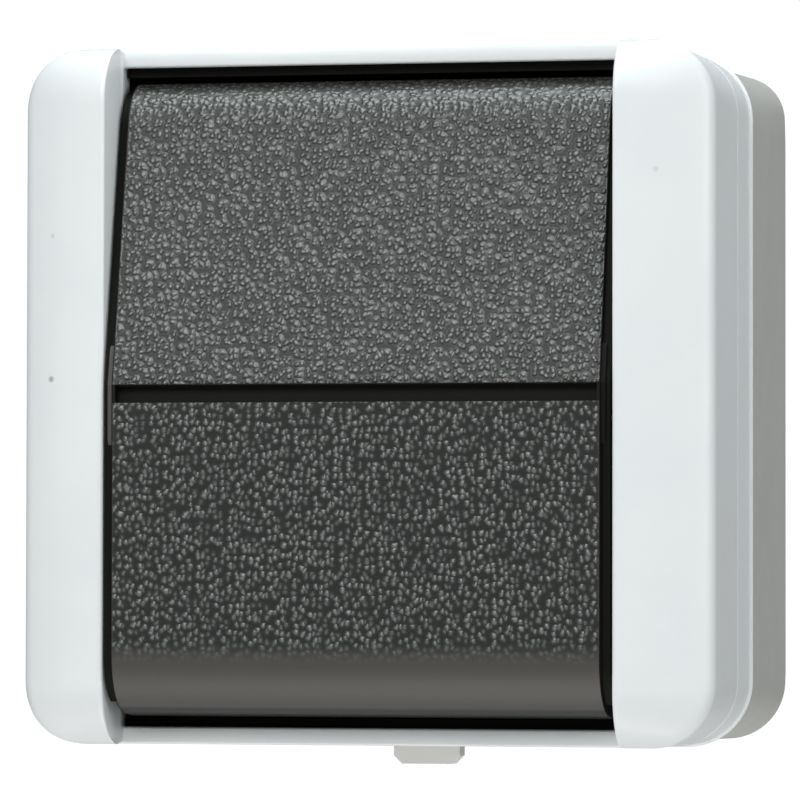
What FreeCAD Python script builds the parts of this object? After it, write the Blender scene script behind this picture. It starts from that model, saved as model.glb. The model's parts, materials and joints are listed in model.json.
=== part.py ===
import FreeCAD, Part
import os
import Sketcher
from FreeCAD import Placement, Rotation, Vector

# Surface-mounted weatherproof rocker switch.
# X runs to the right, Z up, and the front faces -Y. The wall is the plane Y = 0.
# "out" is how far something stands out from the wall, so Y = -out.

doc = FreeCAD.newDocument("weatherproof_switch")
dims = doc.addObject("Spreadsheet::Sheet", "dims")

# A text is a formula on the other names, so that pieces follow the few sizes that drive them
sizes = {
    "body_wide": 66.0,
    "body_tall": 65.7,
    "wing_out": 50.0,
    "box_deep": 23.8,
    # rear box
    "box_inset": 0.15,
    "box_wide": "=body_wide - 2 * box_inset",
    "box_tall": "=body_tall - 2 * box_inset + 0.1",
    "box_corner": 6.5,
    "box_wall": 2.2,
    "box_edge": 0.6,
    "back_wall": 2.4,
    "slot_side": 11.85,
    "slot_end": 16.75,
    "slot_across": "=box_wide - 2 * slot_side",
    "slot_apart": "=box_tall - 2 * slot_end",
    "slot_long": 8.0,
    "slot_wide": 4.2,
    "entry_out": 11.5,
    "entry_half": 7.0,
    "entry_corner": 2.5,
    "knock_out": 9.0,
    "knock_radius": 5.5,
    "knock_groove": 0.8,
    "seal_skin": 0.9,
    "seal_lap": 1.3,
    "seal_bead": 0.8,
    "seal_wall": 1.3,
    "nipple_tall": 1.3,
    "cable_radius": 3.5,
    "lug_wide": 6.6,
    "lug_drop": 2.55,
    "lug_thick": 2.4,
    "lug_out": 14.8,
    "lug_bevel": 0.8,
    # cover
    "body_corner": 6.0,
    "seam": 0.6,
    "rim_deep": 7.4,
    "rim_proud": 0.4,
    "rim_wall": 2.0,
    "crown_drop": 4.4,
    "crown_radius": 25.0,
    "wing_roll": 5.5,
    "wing_edge": 0.9,
    "fine_edge": 0.35,
    "bar_back": 7.15,
    "wing_wide": 8.85,
    "bar_tall": 1.63,
    "window_wide": "=body_wide - 2 * wing_wide",
    "window_tall": "=body_tall - 2 * bar_tall",
    "lip_deep": 1.05,
    "cheek_deep": 9.7,
    "rebate_side": 0.95,
    "rebate_end": 0.58,
    "wing_wall": 1.8,
    "post_side": 4.6,
    "post_end": 12.85,
    "post_across": "=body_wide - 2 * post_side",
    "post_apart": "=body_tall - 2 * post_end",
    "post_radius": 2.5,
    # rocker
    "end_radius": 5.4,
    "side_gap": 0.99,
    "end_gap": 1.18,
    "rocker_wide": "=window_wide - 2 * side_gap",
    "rocker_reach": "=window_tall / 2 - end_gap - end_radius",
    "rocker_travel": 12.5,
    "axis_back": 7.58,
    "skirt": 3.4,
    "rocker_wall": 1.8,
    "rocker_side": 1.8,
    "groove_wide": 1.65,
    "groove_deep": 0.9,
    "groove_low": 0.88,
    "groove_end": 0.3,
    "pad_tall": 9.86,
    "pad_proud": 0.44,
    "pad_skirt": 1.2,
    "pad_drop": 0.15,
    "pin_radius": 1.6,
    "running_gap": 0.05,
    "pin_inset": 0.3,
    "leg_wide": 6.0,
    "leg_thick": 2.4,
    "tip_radius": 1.5,
    "leg_reach": 14.42,
    # black frame behind the rocker
    "frame_gap": 0.15,
    "swing_gap": 0.31,
    "floor_back": 17.0,
    "floor_thick": 1.6,
    "flange_side": 2.4,
    "flange_end": 4.85,
    "flange_wide": "=body_wide - 2 * flange_side",
    "flange_tall": "=body_tall - 2 * flange_end",
    "cheek_thick": 1.6,
    "cheek_gap": 0.36,
    "cheek_radius": 4.2,
    "leg_hole_wide": 7.4,
    "leg_hole_tall": 7.0,
    "boot_radius": 7.6,
    "boot_neck": 4.3,
    "boot_skin": 0.8,
    "boot_step": 1.0,
    "boot_tall": 2.4,
    # screws
    "screw_side": 7.15,
    "screw_across": "=window_wide - 2 * screw_side",
    "screw_end": 7.25,
    "screw_apart": "=box_tall - 2 * screw_end",
    "screw_radius": 1.75,
    "screw_head": 2.9,
    "screw_head_tall": 2.0,
    "screw_long": 23.0,
    "small_radius": 1.1,
    "small_head": 2.1,
    "small_head_tall": 1.4,
    "small_long": 7.0,
    "boss_radius": 3.4,
    "boss_out": 20.0,
    # mechanism
    "base_side": 11.85,
    "base_end": 12.25,
    "base_wide": "=box_wide - 2 * base_side",
    "base_tall": "=box_tall - 2 * base_end",
    "base_out": 4.6,
    "base_top": 21.4,
    "base_wall": 1.5,
    "wire_way": 2.2,
    "wire_rise": 2.4,
    "strip_out": 6.8,
    "strip_thick": 0.8,
    "strip_wide": 4.4,
    "lid_thick": 1.2,
    "plate_side": 3.85,
    "plate_over": 0.5,
    "plate_wide": "=box_wide - 2 * plate_side",
    "plate_tall": "=base_tall + 2 * plate_over",
    "plate_thick": 1.2,
    "plate_rim": 2.5,
    "plate_corner": 2.0,
    "plate_screw_side": 6.85,
    "plate_screws": "=box_wide - 2 * plate_screw_side",
    "rivet_side": 3.5,
    "rivet_end": 3.0,
    "rivet_across": "=base_wide - 2 * rivet_side",
    "rivet_apart": "=base_tall - 2 * rivet_end",
    "rivet_radius": 1.0,
    "rivet_head": 1.8,
    "rivet_head_tall": 0.6,
    "slot_rim": 2.0,
    "lug_gap": 0.3,
    "slot_gap": 0.6,
    "swing_room": 1.7,
    "seat": 0.5,
    # tumbler and contacts
    "tumbler_gain": 1.44,
    "hub_radius": 3.0,
    "hub_wide": 12.0,
    "axle_radius": 1.5,
    "fork_wide": 8.0,
    "fork_thick": 2.0,
    "fork_slack": 0.35,
    "fork_over": 1.2,
    "barrel_radius": 2.7,
    "barrel_reach": 6.1,
    "spring_radius": 1.6,
    "spring_wire": 0.4,
    "spring_start": 2.0,
    "spring_end": 4.9,
    "spring_turns": 3.5,
    "plunger_tip": 1.3,
    "lever_out": 10.4,
    "lever_thick": 0.8,
    "lever_wide": 6.0,
    "lever_end": 0.4,
    "yoke_over": 1.4,
    "yoke_half": 1.6,
    "contact_reach": 8.5,
    "lever_gain": 1.28,
    "contact_radius": 1.5,
    "contact_tall": 0.6,
    "fixed_tall": 0.45,
    "plunger_gap": 0.3,
    "pivot_radius": 0.6,
    # terminals
    "clamp_x": "=base_wide * 2 / 7",
    "clamp_wide": 7.0,
    "clamp_long": 6.0,
    "clamp_tall": 8.6,
    "clamp_wall": 0.9,
    "clamp_screw": 1.6,
    "clamp_head": 2.2,
    "clamp_slot": 0.6,
    "clamp_lift": 1.0,
    "clamp_play": 0.2,
    "loop_wide": 14.0,
    "loop_tall": 5.4,
    "loop_deep": 7.0,
    "loop_wire": 1.7,
    "loop_side": 6.0,
    "loop_end": 0.6,
    "loop_play": 0.1,
}
for row, (word, number) in enumerate(sizes.items(), start=1):
    dims.set(f"A{row}", word)
    dims.set(f"B{row}", str(number))
    dims.setAlias(f"B{row}", word)
doc.recompute()


def value(formula):
    """Number that a formula on the sheet gives now."""
    return float(dims.evalExpression(str(formula)))


# Places worked out from the driving sizes
rimOut = "(dims.box_deep + dims.seam)"
bodyOut = f"({rimOut} + dims.rim_deep)"
barOut = "(dims.wing_out - dims.bar_back)"
floorOut = "(dims.wing_out - dims.floor_back)"
floorBack = f"({floorOut} - dims.floor_thick)"
rockerAxis = "(dims.wing_out - dims.axis_back)"
legTip = f"({rockerAxis} - dims.leg_reach)"
tumblerAxis = f"({legTip} - dims.leg_reach / dims.tumbler_gain)"
lidTop = "(dims.base_top + dims.lid_thick)"
plateTop = f"({lidTop} + dims.plate_thick)"
stripTop = "(dims.strip_out + dims.strip_thick)"
leverFace = "(dims.lever_out + dims.lever_thick / 2)"
halfTilt = "(dims.rocker_travel / 2 * 1 deg)"
rebateX = "(dims.window_wide / 2 + dims.rebate_side)"
rebateZ = "(dims.window_tall / 2 + dims.rebate_end)"
cheekX = "(dims.rocker_wide / 2 - dims.rocker_side - dims.cheek_gap)"

nodes = {}


def keep(name, item):
    """Name a finished sub-part."""
    item.Label = name
    nodes[name] = item
    return item


# Sketches: every corner is placed by a formula, a curved side by its radius

def outline(sketch, corners):
    """Closed outline; a corner (x, y, radius) starts a curved side that bulges to the right of travel."""
    first = sketch.GeometryCount
    spots = [Vector(value(corner[0]), value(corner[1]), 0) for corner in corners]
    count = len(corners)
    for index, corner in enumerate(corners):
        start = spots[index]
        end = spots[(index + 1) % count]
        if len(corner) == 3:
            radius = value(corner[2])
            chord = end - start
            across = Vector(chord.y, -chord.x, 0).normalize()
            rise = abs(radius) - (radius ** 2 - (chord.Length / 2) ** 2) ** 0.5
            middle = (start + end) / 2 + across * rise * (1 if radius > 0 else -1)
            sketch.addGeometry(Part.Arc(start, middle, end), False)
        else:
            sketch.addGeometry(Part.LineSegment(start, end), False)
    for index, corner in enumerate(corners):
        side = first + index
        following = first + (index + 1) % count
        sketch.addConstraint(Sketcher.Constraint(
            "Coincident", side, endOf(sketch, side, spots[(index + 1) % count]),
            following, endOf(sketch, following, spots[(index + 1) % count])))
    for index, corner in enumerate(corners):
        side = first + index
        point = endOf(sketch, side, spots[index])
        bindMeasure(sketch, "DistanceX", side, point, corner[0])
        bindMeasure(sketch, "DistanceY", side, point, corner[1])
        if len(corner) == 3:
            place = sketch.addConstraint(Sketcher.Constraint("Radius", side, abs(value(corner[2]))))
            sketch.renameConstraint(place, f"radius{side}")
            sketch.setExpression(f"Constraints.radius{side}", f"abs({corner[2]})")


def endOf(sketch, side, spot):
    """Which end of a side, 1 or 2, lies at a spot."""
    return 1 if sketch.getPoint(side, 1).distanceToPoint(spot) < 1e-6 else 2


def bindMeasure(sketch, kind, side, point, formula):
    place = sketch.addConstraint(Sketcher.Constraint(kind, -1, 1, side, point, value(formula)))
    label = f"{kind[-1].lower()}{side}"
    sketch.renameConstraint(place, label)
    sketch.setExpression(f"Constraints.{label}", str(formula))


def rectangle(sketch, left, right, low, high):
    outline(sketch, [(left, low), (right, low), (right, high), (left, high)])


def rounded(sketch, wide, tall, corner, y="0"):
    """Rectangle with round corners, about a place above or below the middle."""
    right = f"({wide}) / 2"
    top = f"({y}) + ({tall}) / 2"
    low = f"({y}) - ({tall}) / 2"
    inX = f"({wide}) / 2 - ({corner})"
    outline(sketch, [
        (f"-({inX})", low), (inX, low, corner),
        (right, f"{low} + ({corner})"), (right, f"{top} - ({corner})", corner),
        (inX, top), (f"-({inX})", top, corner),
        (f"-({right})", f"{top} - ({corner})"), (f"-({right})", f"{low} + ({corner})", corner)])


def circle(sketch, x, y, radius):
    middle = Vector(value(x), value(y), 0)
    side = sketch.addGeometry(Part.Circle(middle, Vector(0, 0, 1), value(radius)), False)
    bindMeasure(sketch, "DistanceX", side, 3, x)
    bindMeasure(sketch, "DistanceY", side, 3, y)
    place = sketch.addConstraint(Sketcher.Constraint("Radius", side, value(radius)))
    sketch.renameConstraint(place, f"radius{side}")
    sketch.setExpression(f"Constraints.radius{side}", str(radius))


# Moulded pieces: bodies built up by pads and pockets from sketches in three views.
# The front view has X and Z, the side view Y and Z, the top view X and Y.

views = {"front": "XZ_Plane", "side": "YZ_Plane", "top": "XY_Plane"}


def moulding(name):
    return doc.addObject("PartDesign::Body", name)


def drawing(body, name, view, shift="0"):
    """Sketch in one view; shift moves it out (front), right (side) or up (top)."""
    sketch = body.newObject("Sketcher::SketchObject", f"{body.Name}_{name}")
    support = [plane for plane in body.Origin.OriginFeatures if plane.Role == views[view]][0]
    sketch.AttachmentSupport = [(support, "")]
    sketch.MapMode = "FlatFace"
    sketch.setExpression("AttachmentOffset.Base.z", str(shift))
    return sketch


def pad(body, sketch, length, both=False, reverse=False):
    item = body.newObject("PartDesign::Pad", sketch.Name + "_pad")
    return finish(item, sketch, length, both, reverse)


def pocket(body, sketch, length, both=False, reverse=False):
    item = body.newObject("PartDesign::Pocket", sketch.Name + "_pocket")
    return finish(item, sketch, length, both, reverse)


def finish(item, sketch, length, both, reverse):
    item.Profile = sketch
    item.setExpression("Length", str(length))
    item.SideType = "Symmetric" if both else "One side"
    item.Reversed = reverse
    item.Refine = True
    return item


def trim(body, kind, measure, name, size, chosen):
    """Fillet or chamfer on the edges of the body that a test picks."""
    doc.recompute()
    tip = body.Tip
    edges = [f"Edge{number}" for number, edge in enumerate(tip.Shape.Edges, start=1) if chosen(edge)]
    item = body.newObject(f"PartDesign::{kind}", f"{body.Name}_{name}")
    item.Base = (tip, edges)
    item.setExpression(measure, str(size))
    return item


def soften(body, name, radius, chosen):
    return trim(body, "Fillet", "Radius", name, radius, chosen)


def bevel(body, name, size, chosen):
    return trim(body, "Chamfer", "Size", name, size, chosen)


tiny = 0.01


def spots(across, apart):
    """Four formulas for places about the middle."""
    return [(f"{side} * ({across}) / 2", f"{level} * ({apart}) / 2")
            for side in (-1, 1) for level in (-1, 1)]


# Plain pieces: primitives and booleans

def block(name, left, right, outLow, outHigh, low, high):
    item = doc.addObject("Part::Box", name)
    item.setExpression("Length", f"({right}) - ({left})")
    item.setExpression("Width", f"({outHigh}) - ({outLow})")
    item.setExpression("Height", f"({high}) - ({low})")
    item.setExpression("Placement.Base.x", str(left))
    item.setExpression("Placement.Base.y", f"-({outHigh})")
    item.setExpression("Placement.Base.z", str(low))
    return item


turns = {"out": Rotation(Vector(1, 0, 0), 90), "right": Rotation(Vector(0, 1, 0), 90), "up": Rotation()}


def aim(item, x, out, z, way):
    item.Placement = Placement(Vector(), turns[way])
    item.setExpression("Placement.Base.x", str(x))
    item.setExpression("Placement.Base.y", f"-({out})")
    item.setExpression("Placement.Base.z", str(z))
    return item


def rod(name, radius, length, x, out, z, way="out"):
    """Round bar that starts at a place and runs out, right or up."""
    item = doc.addObject("Part::Cylinder", name)
    item.setExpression("Radius", str(radius))
    item.setExpression("Height", str(length))
    return aim(item, x, out, z, way)


def cone(name, first, last, length, x, out, z, way="out"):
    item = doc.addObject("Part::Cone", name)
    item.setExpression("Radius1", str(first))
    item.setExpression("Radius2", str(last))
    item.setExpression("Height", str(length))
    return aim(item, x, out, z, way)


def ball(name, radius, x, out, z):
    item = doc.addObject("Part::Sphere", name)
    item.setExpression("Radius", str(radius))
    return aim(item, x, out, z, "up")


def fuse(name, items):
    item = doc.addObject("Part::MultiFuse", name)
    item.Shapes = items
    item.Refine = True
    return item


def cut(name, base, tools):
    item = doc.addObject("Part::Cut", name)
    item.Base = base
    item.Tool = tools[0] if len(tools) == 1 else fuse(name + "_tools", tools)
    item.Refine = True
    return item


def group(name, items):
    item = doc.addObject("Part::Compound", name)
    item.Links = items
    return item


def hang(item, axisOut, angle):
    """Place a piece drawn about its own axis: the axis lies across the switch at axisOut."""
    item.Placement = Placement(Vector(), Rotation(Vector(1, 0, 0), 1))
    item.setExpression("Placement.Base.y", f"-({axisOut})")
    item.setExpression("Placement.Rotation.Angle", f"({angle}) * 1 deg")
    return item


restRocker = "-dims.rocker_travel / 2"
restTumbler = "dims.rocker_travel / 2 * dims.tumbler_gain"
restLever = "-dims.rocker_travel / 2 * dims.lever_gain"


# Spare terminal on the floor of the box, beside the lower wall
loopX = "(-dims.box_wide / 2 + dims.box_wall + dims.loop_side + dims.loop_wide / 2)"
loopZ = "(-(dims.box_tall / 2 - dims.box_wall - dims.loop_end - dims.loop_tall / 2))"


def rearBox():
    """Open box on the wall with bosses, slots, an entry on top, a knock-out and a lug below."""
    body = moulding("rear_box")
    sketch = drawing(body, "outside", "front")
    rounded(sketch, "dims.box_wide", "dims.box_tall", "dims.box_corner")
    pad(body, sketch, "dims.box_deep")
    sketch = drawing(body, "inside", "front", "dims.box_deep")
    rounded(sketch, "dims.box_wide - 2 * dims.box_wall", "dims.box_tall - 2 * dims.box_wall",
            "dims.box_corner - dims.box_wall")
    pocket(body, sketch, "dims.box_deep - dims.back_wall")

    sketch = drawing(body, "cover_bosses", "front", "dims.back_wall / 2")
    for side in (-1, 1):
        circle(sketch, f"{side} * dims.screw_across / 2", f"{-side} * dims.screw_apart / 2",
               "dims.boss_radius")
    pad(body, sketch, "dims.boss_out - dims.back_wall / 2")
    sketch = drawing(body, "plate_bosses", "front", "dims.back_wall / 2")
    for side in (-1, 1):
        circle(sketch, f"{side} * dims.plate_screws / 2", "0", "dims.boss_radius")
    pad(body, sketch, f"{lidTop} - dims.back_wall / 2")
    sketch = drawing(body, "boss_ribs", "front", "dims.back_wall / 2")
    ribHalf = "dims.box_wall / 3"
    ribNear = "(dims.plate_screws / 2 + dims.boss_radius / 2)"
    ribFar = "(dims.box_wide / 2 - dims.box_wall / 2)"
    rectangle(sketch, ribNear, ribFar, f"-({ribHalf})", ribHalf)
    rectangle(sketch, f"-{ribFar}", f"-{ribNear}", f"-({ribHalf})", ribHalf)
    pad(body, sketch, f"{lidTop} - dims.back_wall / 2 - dims.box_wall")

    sketch = drawing(body, "cover_pilots", "front", "dims.boss_out")
    for side in (-1, 1):
        circle(sketch, f"{side} * dims.screw_across / 2", f"{-side} * dims.screw_apart / 2",
               "dims.screw_radius")
    pocket(body, sketch, f"dims.boss_out - ({floorOut} - dims.screw_long) + 1")
    sketch = drawing(body, "plate_pilots", "front", lidTop)
    for side in (-1, 1):
        circle(sketch, f"{side} * dims.plate_screws / 2", "0", "dims.small_radius")
    pocket(body, sketch, "dims.small_long")

    sketch = drawing(body, "wall_slots", "front", "dims.back_wall")
    for x, z in spots("dims.slot_across", "dims.slot_apart"):
        half = "dims.slot_long / 2 - dims.slot_wide / 2"
        outline(sketch, [
            (f"{x} - ({half})", f"{z} - dims.slot_wide / 2"),
            (f"{x} + ({half})", f"{z} - dims.slot_wide / 2", "dims.slot_wide / 2 * 1.000001"),
            (f"{x} + ({half})", f"{z} + dims.slot_wide / 2"),
            (f"{x} - ({half})", f"{z} + dims.slot_wide / 2", "dims.slot_wide / 2 * 1.000001")])
    pocket(body, sketch, "dims.back_wall")

    sketch = drawing(body, "entry", "top", "dims.box_tall / 2 + 0.1")
    rounded(sketch, "2 * dims.entry_half", "2 * dims.entry_half", "dims.entry_corner", "-dims.entry_out")
    pocket(body, sketch, "dims.box_wall + 0.2")
    sketch = drawing(body, "knock_out", "top", "-dims.box_tall / 2")
    circle(sketch, "0", "-dims.knock_out", "dims.knock_radius")
    circle(sketch, "0", "-dims.knock_out", "dims.knock_radius - dims.knock_groove")
    pocket(body, sketch, "dims.box_wall / 2", reverse=True)

    sketch = drawing(body, "lug", "front", "dims.lug_out")
    low = "-(dims.box_tall / 2 + dims.lug_drop)"
    side = "dims.lug_wide / 2"
    inset = "dims.lug_wide / 2 - dims.lug_bevel"
    root = "-(dims.box_tall / 2 - dims.box_wall / 2)"
    outline(sketch, [
        (f"-({side})", root), (f"-({side})", f"{low} + dims.lug_bevel"), (f"-({inset})", low), (inset, low),
        (side, f"{low} + dims.lug_bevel"), (side, root)])
    pad(body, sketch, "dims.lug_thick")

    sketch = drawing(body, "loop_ribs", "front", "dims.back_wall / 2")
    for side in (-1, 1):
        edge = f"({loopX} + {side} * (dims.loop_wide / 2 + dims.loop_play))"
        near, far = (edge, f"{edge} + 1") if side > 0 else (f"{edge} - 1", edge)
        rectangle(sketch, near, far, f"{loopZ} - dims.loop_tall / 2", f"{loopZ} + dims.loop_tall / 2")
    pad(body, sketch, "dims.back_wall / 2 + dims.loop_deep / 2")

    sideX = value("dims.box_wide / 2")
    topZ = value("dims.box_tall / 2")

    def outerEdge(edge, place):
        box = edge.BoundBox
        onSide = abs(box.XMax - sideX) < tiny or abs(box.XMin + sideX) < tiny
        onTop = abs(box.ZMax - topZ) < tiny or abs(box.ZMin + topZ) < tiny
        return box.YLength < tiny and abs(box.YMin - place) < tiny and (onSide or onTop)

    bevel(body, "back_edge", "dims.box_edge", lambda edge: outerEdge(edge, 0))
    bevel(body, "front_edge", "dims.fine_edge", lambda edge: outerEdge(edge, value("-dims.box_deep")))
    keep("rear_box", body)


def loopTerminal():
    bar = block("loop_bar", f"{loopX} - dims.loop_wide / 2", f"{loopX} + dims.loop_wide / 2",
                "dims.back_wall", "dims.back_wall + dims.loop_deep",
                f"{loopZ} - dims.loop_tall / 2", f"{loopZ} + dims.loop_tall / 2")
    holes = []
    screws = []
    top = "(dims.back_wall + dims.loop_deep)"
    for number, side in enumerate((-1, 1)):
        x = f"{loopX} + {side} * dims.loop_wide / 4"
        holes.append(rod(f"loop_way{number}", "dims.loop_wire", "dims.loop_tall", x,
                         "dims.back_wall + dims.loop_deep * 0.35", f"{loopZ} - dims.loop_tall / 2", "up"))
        holes.append(rod(f"loop_thread{number}", "dims.small_radius", "dims.loop_deep * 0.65", x,
                         "dims.back_wall + dims.loop_deep * 0.35", loopZ))
        shank = rod(f"loop_shank{number}", "dims.small_radius", "dims.loop_deep * 0.4", x,
                    f"{top} - dims.loop_deep * 0.4", loopZ)
        head = rod(f"loop_head{number}", "dims.small_head", "dims.small_head_tall", x, top, loopZ)
        screws.append(slotted(f"loop_screw{number}", [shank, head], x, loopZ,
                              f"{top} + dims.small_head_tall", "dims.small_head"))
    keep("loop_terminal", cut("loop_terminal_cut", bar, holes))
    keep("loop_screws", group("loop_screws_group", screws))


def slotted(name, pieces, x, z, top, head):
    """Screw with a driver slot across its head."""
    slit = block(name + "_slit", f"{x} - {head} * 1.1", f"{x} + {head} * 1.1", f"{top} - dims.clamp_slot",
                 f"{top} + 0.1", f"{z} - dims.clamp_slot / 2", f"{z} + dims.clamp_slot / 2")
    return cut(name, fuse(name + "_solid", pieces), [slit])


def cableSeal():
    """Square rubber seal in the entry on top, with a round nipple for one cable."""
    body = moulding("cable_seal")
    top = "dims.box_tall / 2"
    under = "(dims.box_tall / 2 - dims.box_wall)"
    middle = "-dims.entry_out"

    def layer(name, low, thick, lap):
        side = f"2 * (dims.entry_half + {lap})"
        sketch = drawing(body, name, "top", low)
        rounded(sketch, side, side, f"dims.entry_corner + {lap}", middle)
        pad(body, sketch, thick)

    layer("neck", under, "dims.box_wall", "0")
    layer("flange", top, "dims.seal_skin", "dims.seal_lap")
    layer("rib", f"{under} - dims.seal_skin", "dims.seal_skin", "dims.seal_bead")
    sketch = drawing(body, "nipple", "top", top)
    circle(sketch, "0", middle, "dims.cable_radius + dims.seal_wall")
    pad(body, sketch, "dims.seal_skin + dims.nipple_tall")
    sketch = drawing(body, "hollow", "top", f"{under} - dims.seal_skin")
    hollow = "2 * (dims.entry_half - dims.seal_wall)"
    rounded(sketch, hollow, hollow, "dims.entry_corner - dims.seal_wall", middle)
    pocket(body, sketch, "dims.box_wall", reverse=True)
    sketch = drawing(body, "way", "top", f"{top} + dims.seal_skin + dims.nipple_tall")
    circle(sketch, "0", middle, "dims.cable_radius")
    pocket(body, sketch, "dims.seal_skin + dims.nipple_tall + dims.box_wall")
    keep("cable_seal", body)


def boxGasket():
    """Soft ring on the rim of the rear box, under the rim of the cover."""
    body = moulding("box_gasket")
    inset = "dims.box_wall / 2"
    sketch = drawing(body, "ring", "front", "dims.box_deep")
    rounded(sketch, f"dims.box_wide - 2 * {inset}", f"dims.box_tall - 2 * {inset}",
            f"dims.box_corner - {inset}")
    rounded(sketch, "dims.box_wide - 2 * dims.box_wall", "dims.box_tall - 2 * dims.box_wall",
            "dims.box_corner - dims.box_wall")
    pad(body, sketch, "dims.seam")
    keep("box_gasket", body)


def cover():
    """Light grey cover: two crowned wings, thin bars set back between them, and a proud rim."""
    body = moulding("cover")
    sketch = drawing(body, "rim", "front", rimOut)
    rounded(sketch, "dims.body_wide + 2 * dims.rim_proud", "dims.body_tall + 2 * dims.rim_proud",
            "dims.body_corner + dims.rim_proud")
    pad(body, sketch, "dims.rim_deep")
    sketch = drawing(body, "outside", "front", rimOut)
    rounded(sketch, "dims.body_wide", "dims.body_tall", "dims.body_corner")
    pad(body, sketch, f"dims.wing_out - {rimOut}")

    sketch = drawing(body, "crown", "top")
    edgeY = "-(dims.wing_out - dims.crown_drop)"
    innerX = "dims.window_wide / 2"
    outerX = "dims.body_wide / 2"
    clear = "-(dims.wing_out + 2)"
    outline(sketch, [
        (f"-({outerX} + 2)", edgeY), (f"-({outerX} + 2)", clear), (f"{outerX} + 2", clear),
        (f"{outerX} + 2", edgeY), (outerX, edgeY, "-dims.crown_radius"), (innerX, "-dims.wing_out"),
        (innerX, f"-{barOut}"), (f"-({innerX})", f"-{barOut}"),
        (f"-({innerX})", "-dims.wing_out", "-dims.crown_radius"), (f"-({outerX})", edgeY)])
    pocket(body, sketch, "dims.body_tall + 4", both=True)

    sketch = drawing(body, "roll", "side")
    front = "-dims.wing_out"
    for side in (-1, 1):
        bulge = "-" if side > 0 else ""
        outline(sketch, [
            (front, f"{side} * (dims.body_tall / 2 - dims.wing_roll)", f"{bulge}dims.wing_roll"),
            (f"{front} + dims.wing_roll", f"{side} * dims.body_tall / 2"),
            (f"{front} + dims.wing_roll", f"{side} * (dims.body_tall / 2 + 2)"),
            (f"{front} - 2", f"{side} * (dims.body_tall / 2 + 2)"),
            (f"{front} - 2", f"{side} * (dims.body_tall / 2 - dims.wing_roll)")])
    pocket(body, sketch, "dims.body_wide + 4", both=True)

    wallX = value("dims.body_wide / 2")
    cornerX = value("dims.body_wide / 2 - dims.body_corner")
    cornerZ = value("dims.body_tall / 2 - dims.body_corner")
    wingFoot = value(f"-{barOut}")

    def onWall(point):
        x, z = abs(point.x), abs(point.z)
        if x < cornerX or z < cornerZ:
            return abs(x - wallX) < tiny
        return abs(((x - cornerX) ** 2 + (z - cornerZ) ** 2) ** 0.5 - value("dims.body_corner")) < 2 * tiny

    def outerFrontEdge(edge):
        """Edge where the front of a wing meets its outer wall."""
        box = edge.BoundBox
        if box.YMax > wingFoot or box.YLength > value("dims.wing_roll") or edge.Length < value("dims.seat"):
            return False
        first, last = edge.ParameterRange
        return all(onWall(edge.valueAt(first + (last - first) * share)) for share in (0.02, 0.5, 0.98))

    soften(body, "wing_edges", "dims.wing_edge", outerFrontEdge)

    sketch = drawing(body, "window", "front", "dims.wing_out")
    rectangle(sketch, "-dims.window_wide / 2", "dims.window_wide / 2", "-dims.window_tall / 2",
              "dims.window_tall / 2")
    pocket(body, sketch, f"dims.wing_out - {rimOut}")

    sketch = drawing(body, "inside", "front", rimOut)
    insideWide = "dims.body_wide + 2 * dims.rim_proud - 2 * dims.rim_wall"
    rounded(sketch, insideWide, f"2 * {rebateZ}", "dims.body_corner - dims.rim_wall")
    pocket(body, sketch, f"{floorOut} + 0.1 - {rimOut}", reverse=True)
    sketch = drawing(body, "side_rebate", "front", floorOut)
    rectangle(sketch, f"-{rebateX}", rebateX, f"-{rebateZ}", rebateZ)
    pocket(body, sketch, "dims.floor_back - dims.cheek_deep", reverse=True)
    sketch = drawing(body, "end_rebate", "front", floorOut)
    rectangle(sketch, "-dims.window_wide / 2", "dims.window_wide / 2", f"-{rebateZ}", rebateZ)
    pocket(body, sketch, "dims.floor_back - dims.bar_back - dims.lip_deep", reverse=True)

    sketch = drawing(body, "wing_hollows", "front", floorOut)
    hollowX = f"({rebateX} + dims.wing_wall - dims.rebate_side)"
    hollowOuter = "(dims.body_wide / 2 - dims.rim_wall)"
    hollowZ = "(dims.body_tall / 2 - dims.body_corner)"
    rectangle(sketch, hollowX, hollowOuter, f"-{hollowZ}", hollowZ)
    rectangle(sketch, f"-{hollowOuter}", f"-{hollowX}", f"-{hollowZ}", hollowZ)
    hollowDeep = "(dims.floor_back - dims.crown_drop - dims.rim_wall)"
    pocket(body, sketch, hollowDeep, reverse=True)

    sketch = drawing(body, "posts", "front", floorOut)
    for x, z in spots("dims.post_across", "dims.post_apart"):
        circle(sketch, x, z, "dims.post_radius")
    pad(body, sketch, f"{hollowDeep} + dims.seat")
    sketch = drawing(body, "pilots", "front", floorOut)
    for x, z in spots("dims.post_across", "dims.post_apart"):
        circle(sketch, x, z, "dims.small_radius")
    pocket(body, sketch, "dims.small_long - dims.floor_thick + dims.seat", reverse=True)

    rimSide = value("dims.body_wide / 2 + dims.rim_proud")
    rimTop = value("dims.body_tall / 2 + dims.rim_proud")

    def rimEdge(edge):
        box = edge.BoundBox
        flat = box.YLength < tiny
        onSide = box.XMax > rimSide - tiny or box.XMin < tiny - rimSide
        onTop = box.ZMax > rimTop - tiny or box.ZMin < tiny - rimTop
        return flat and (onSide or onTop)

    bevel(body, "rim_edges", "dims.fine_edge", rimEdge)
    keep("cover", body)


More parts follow.
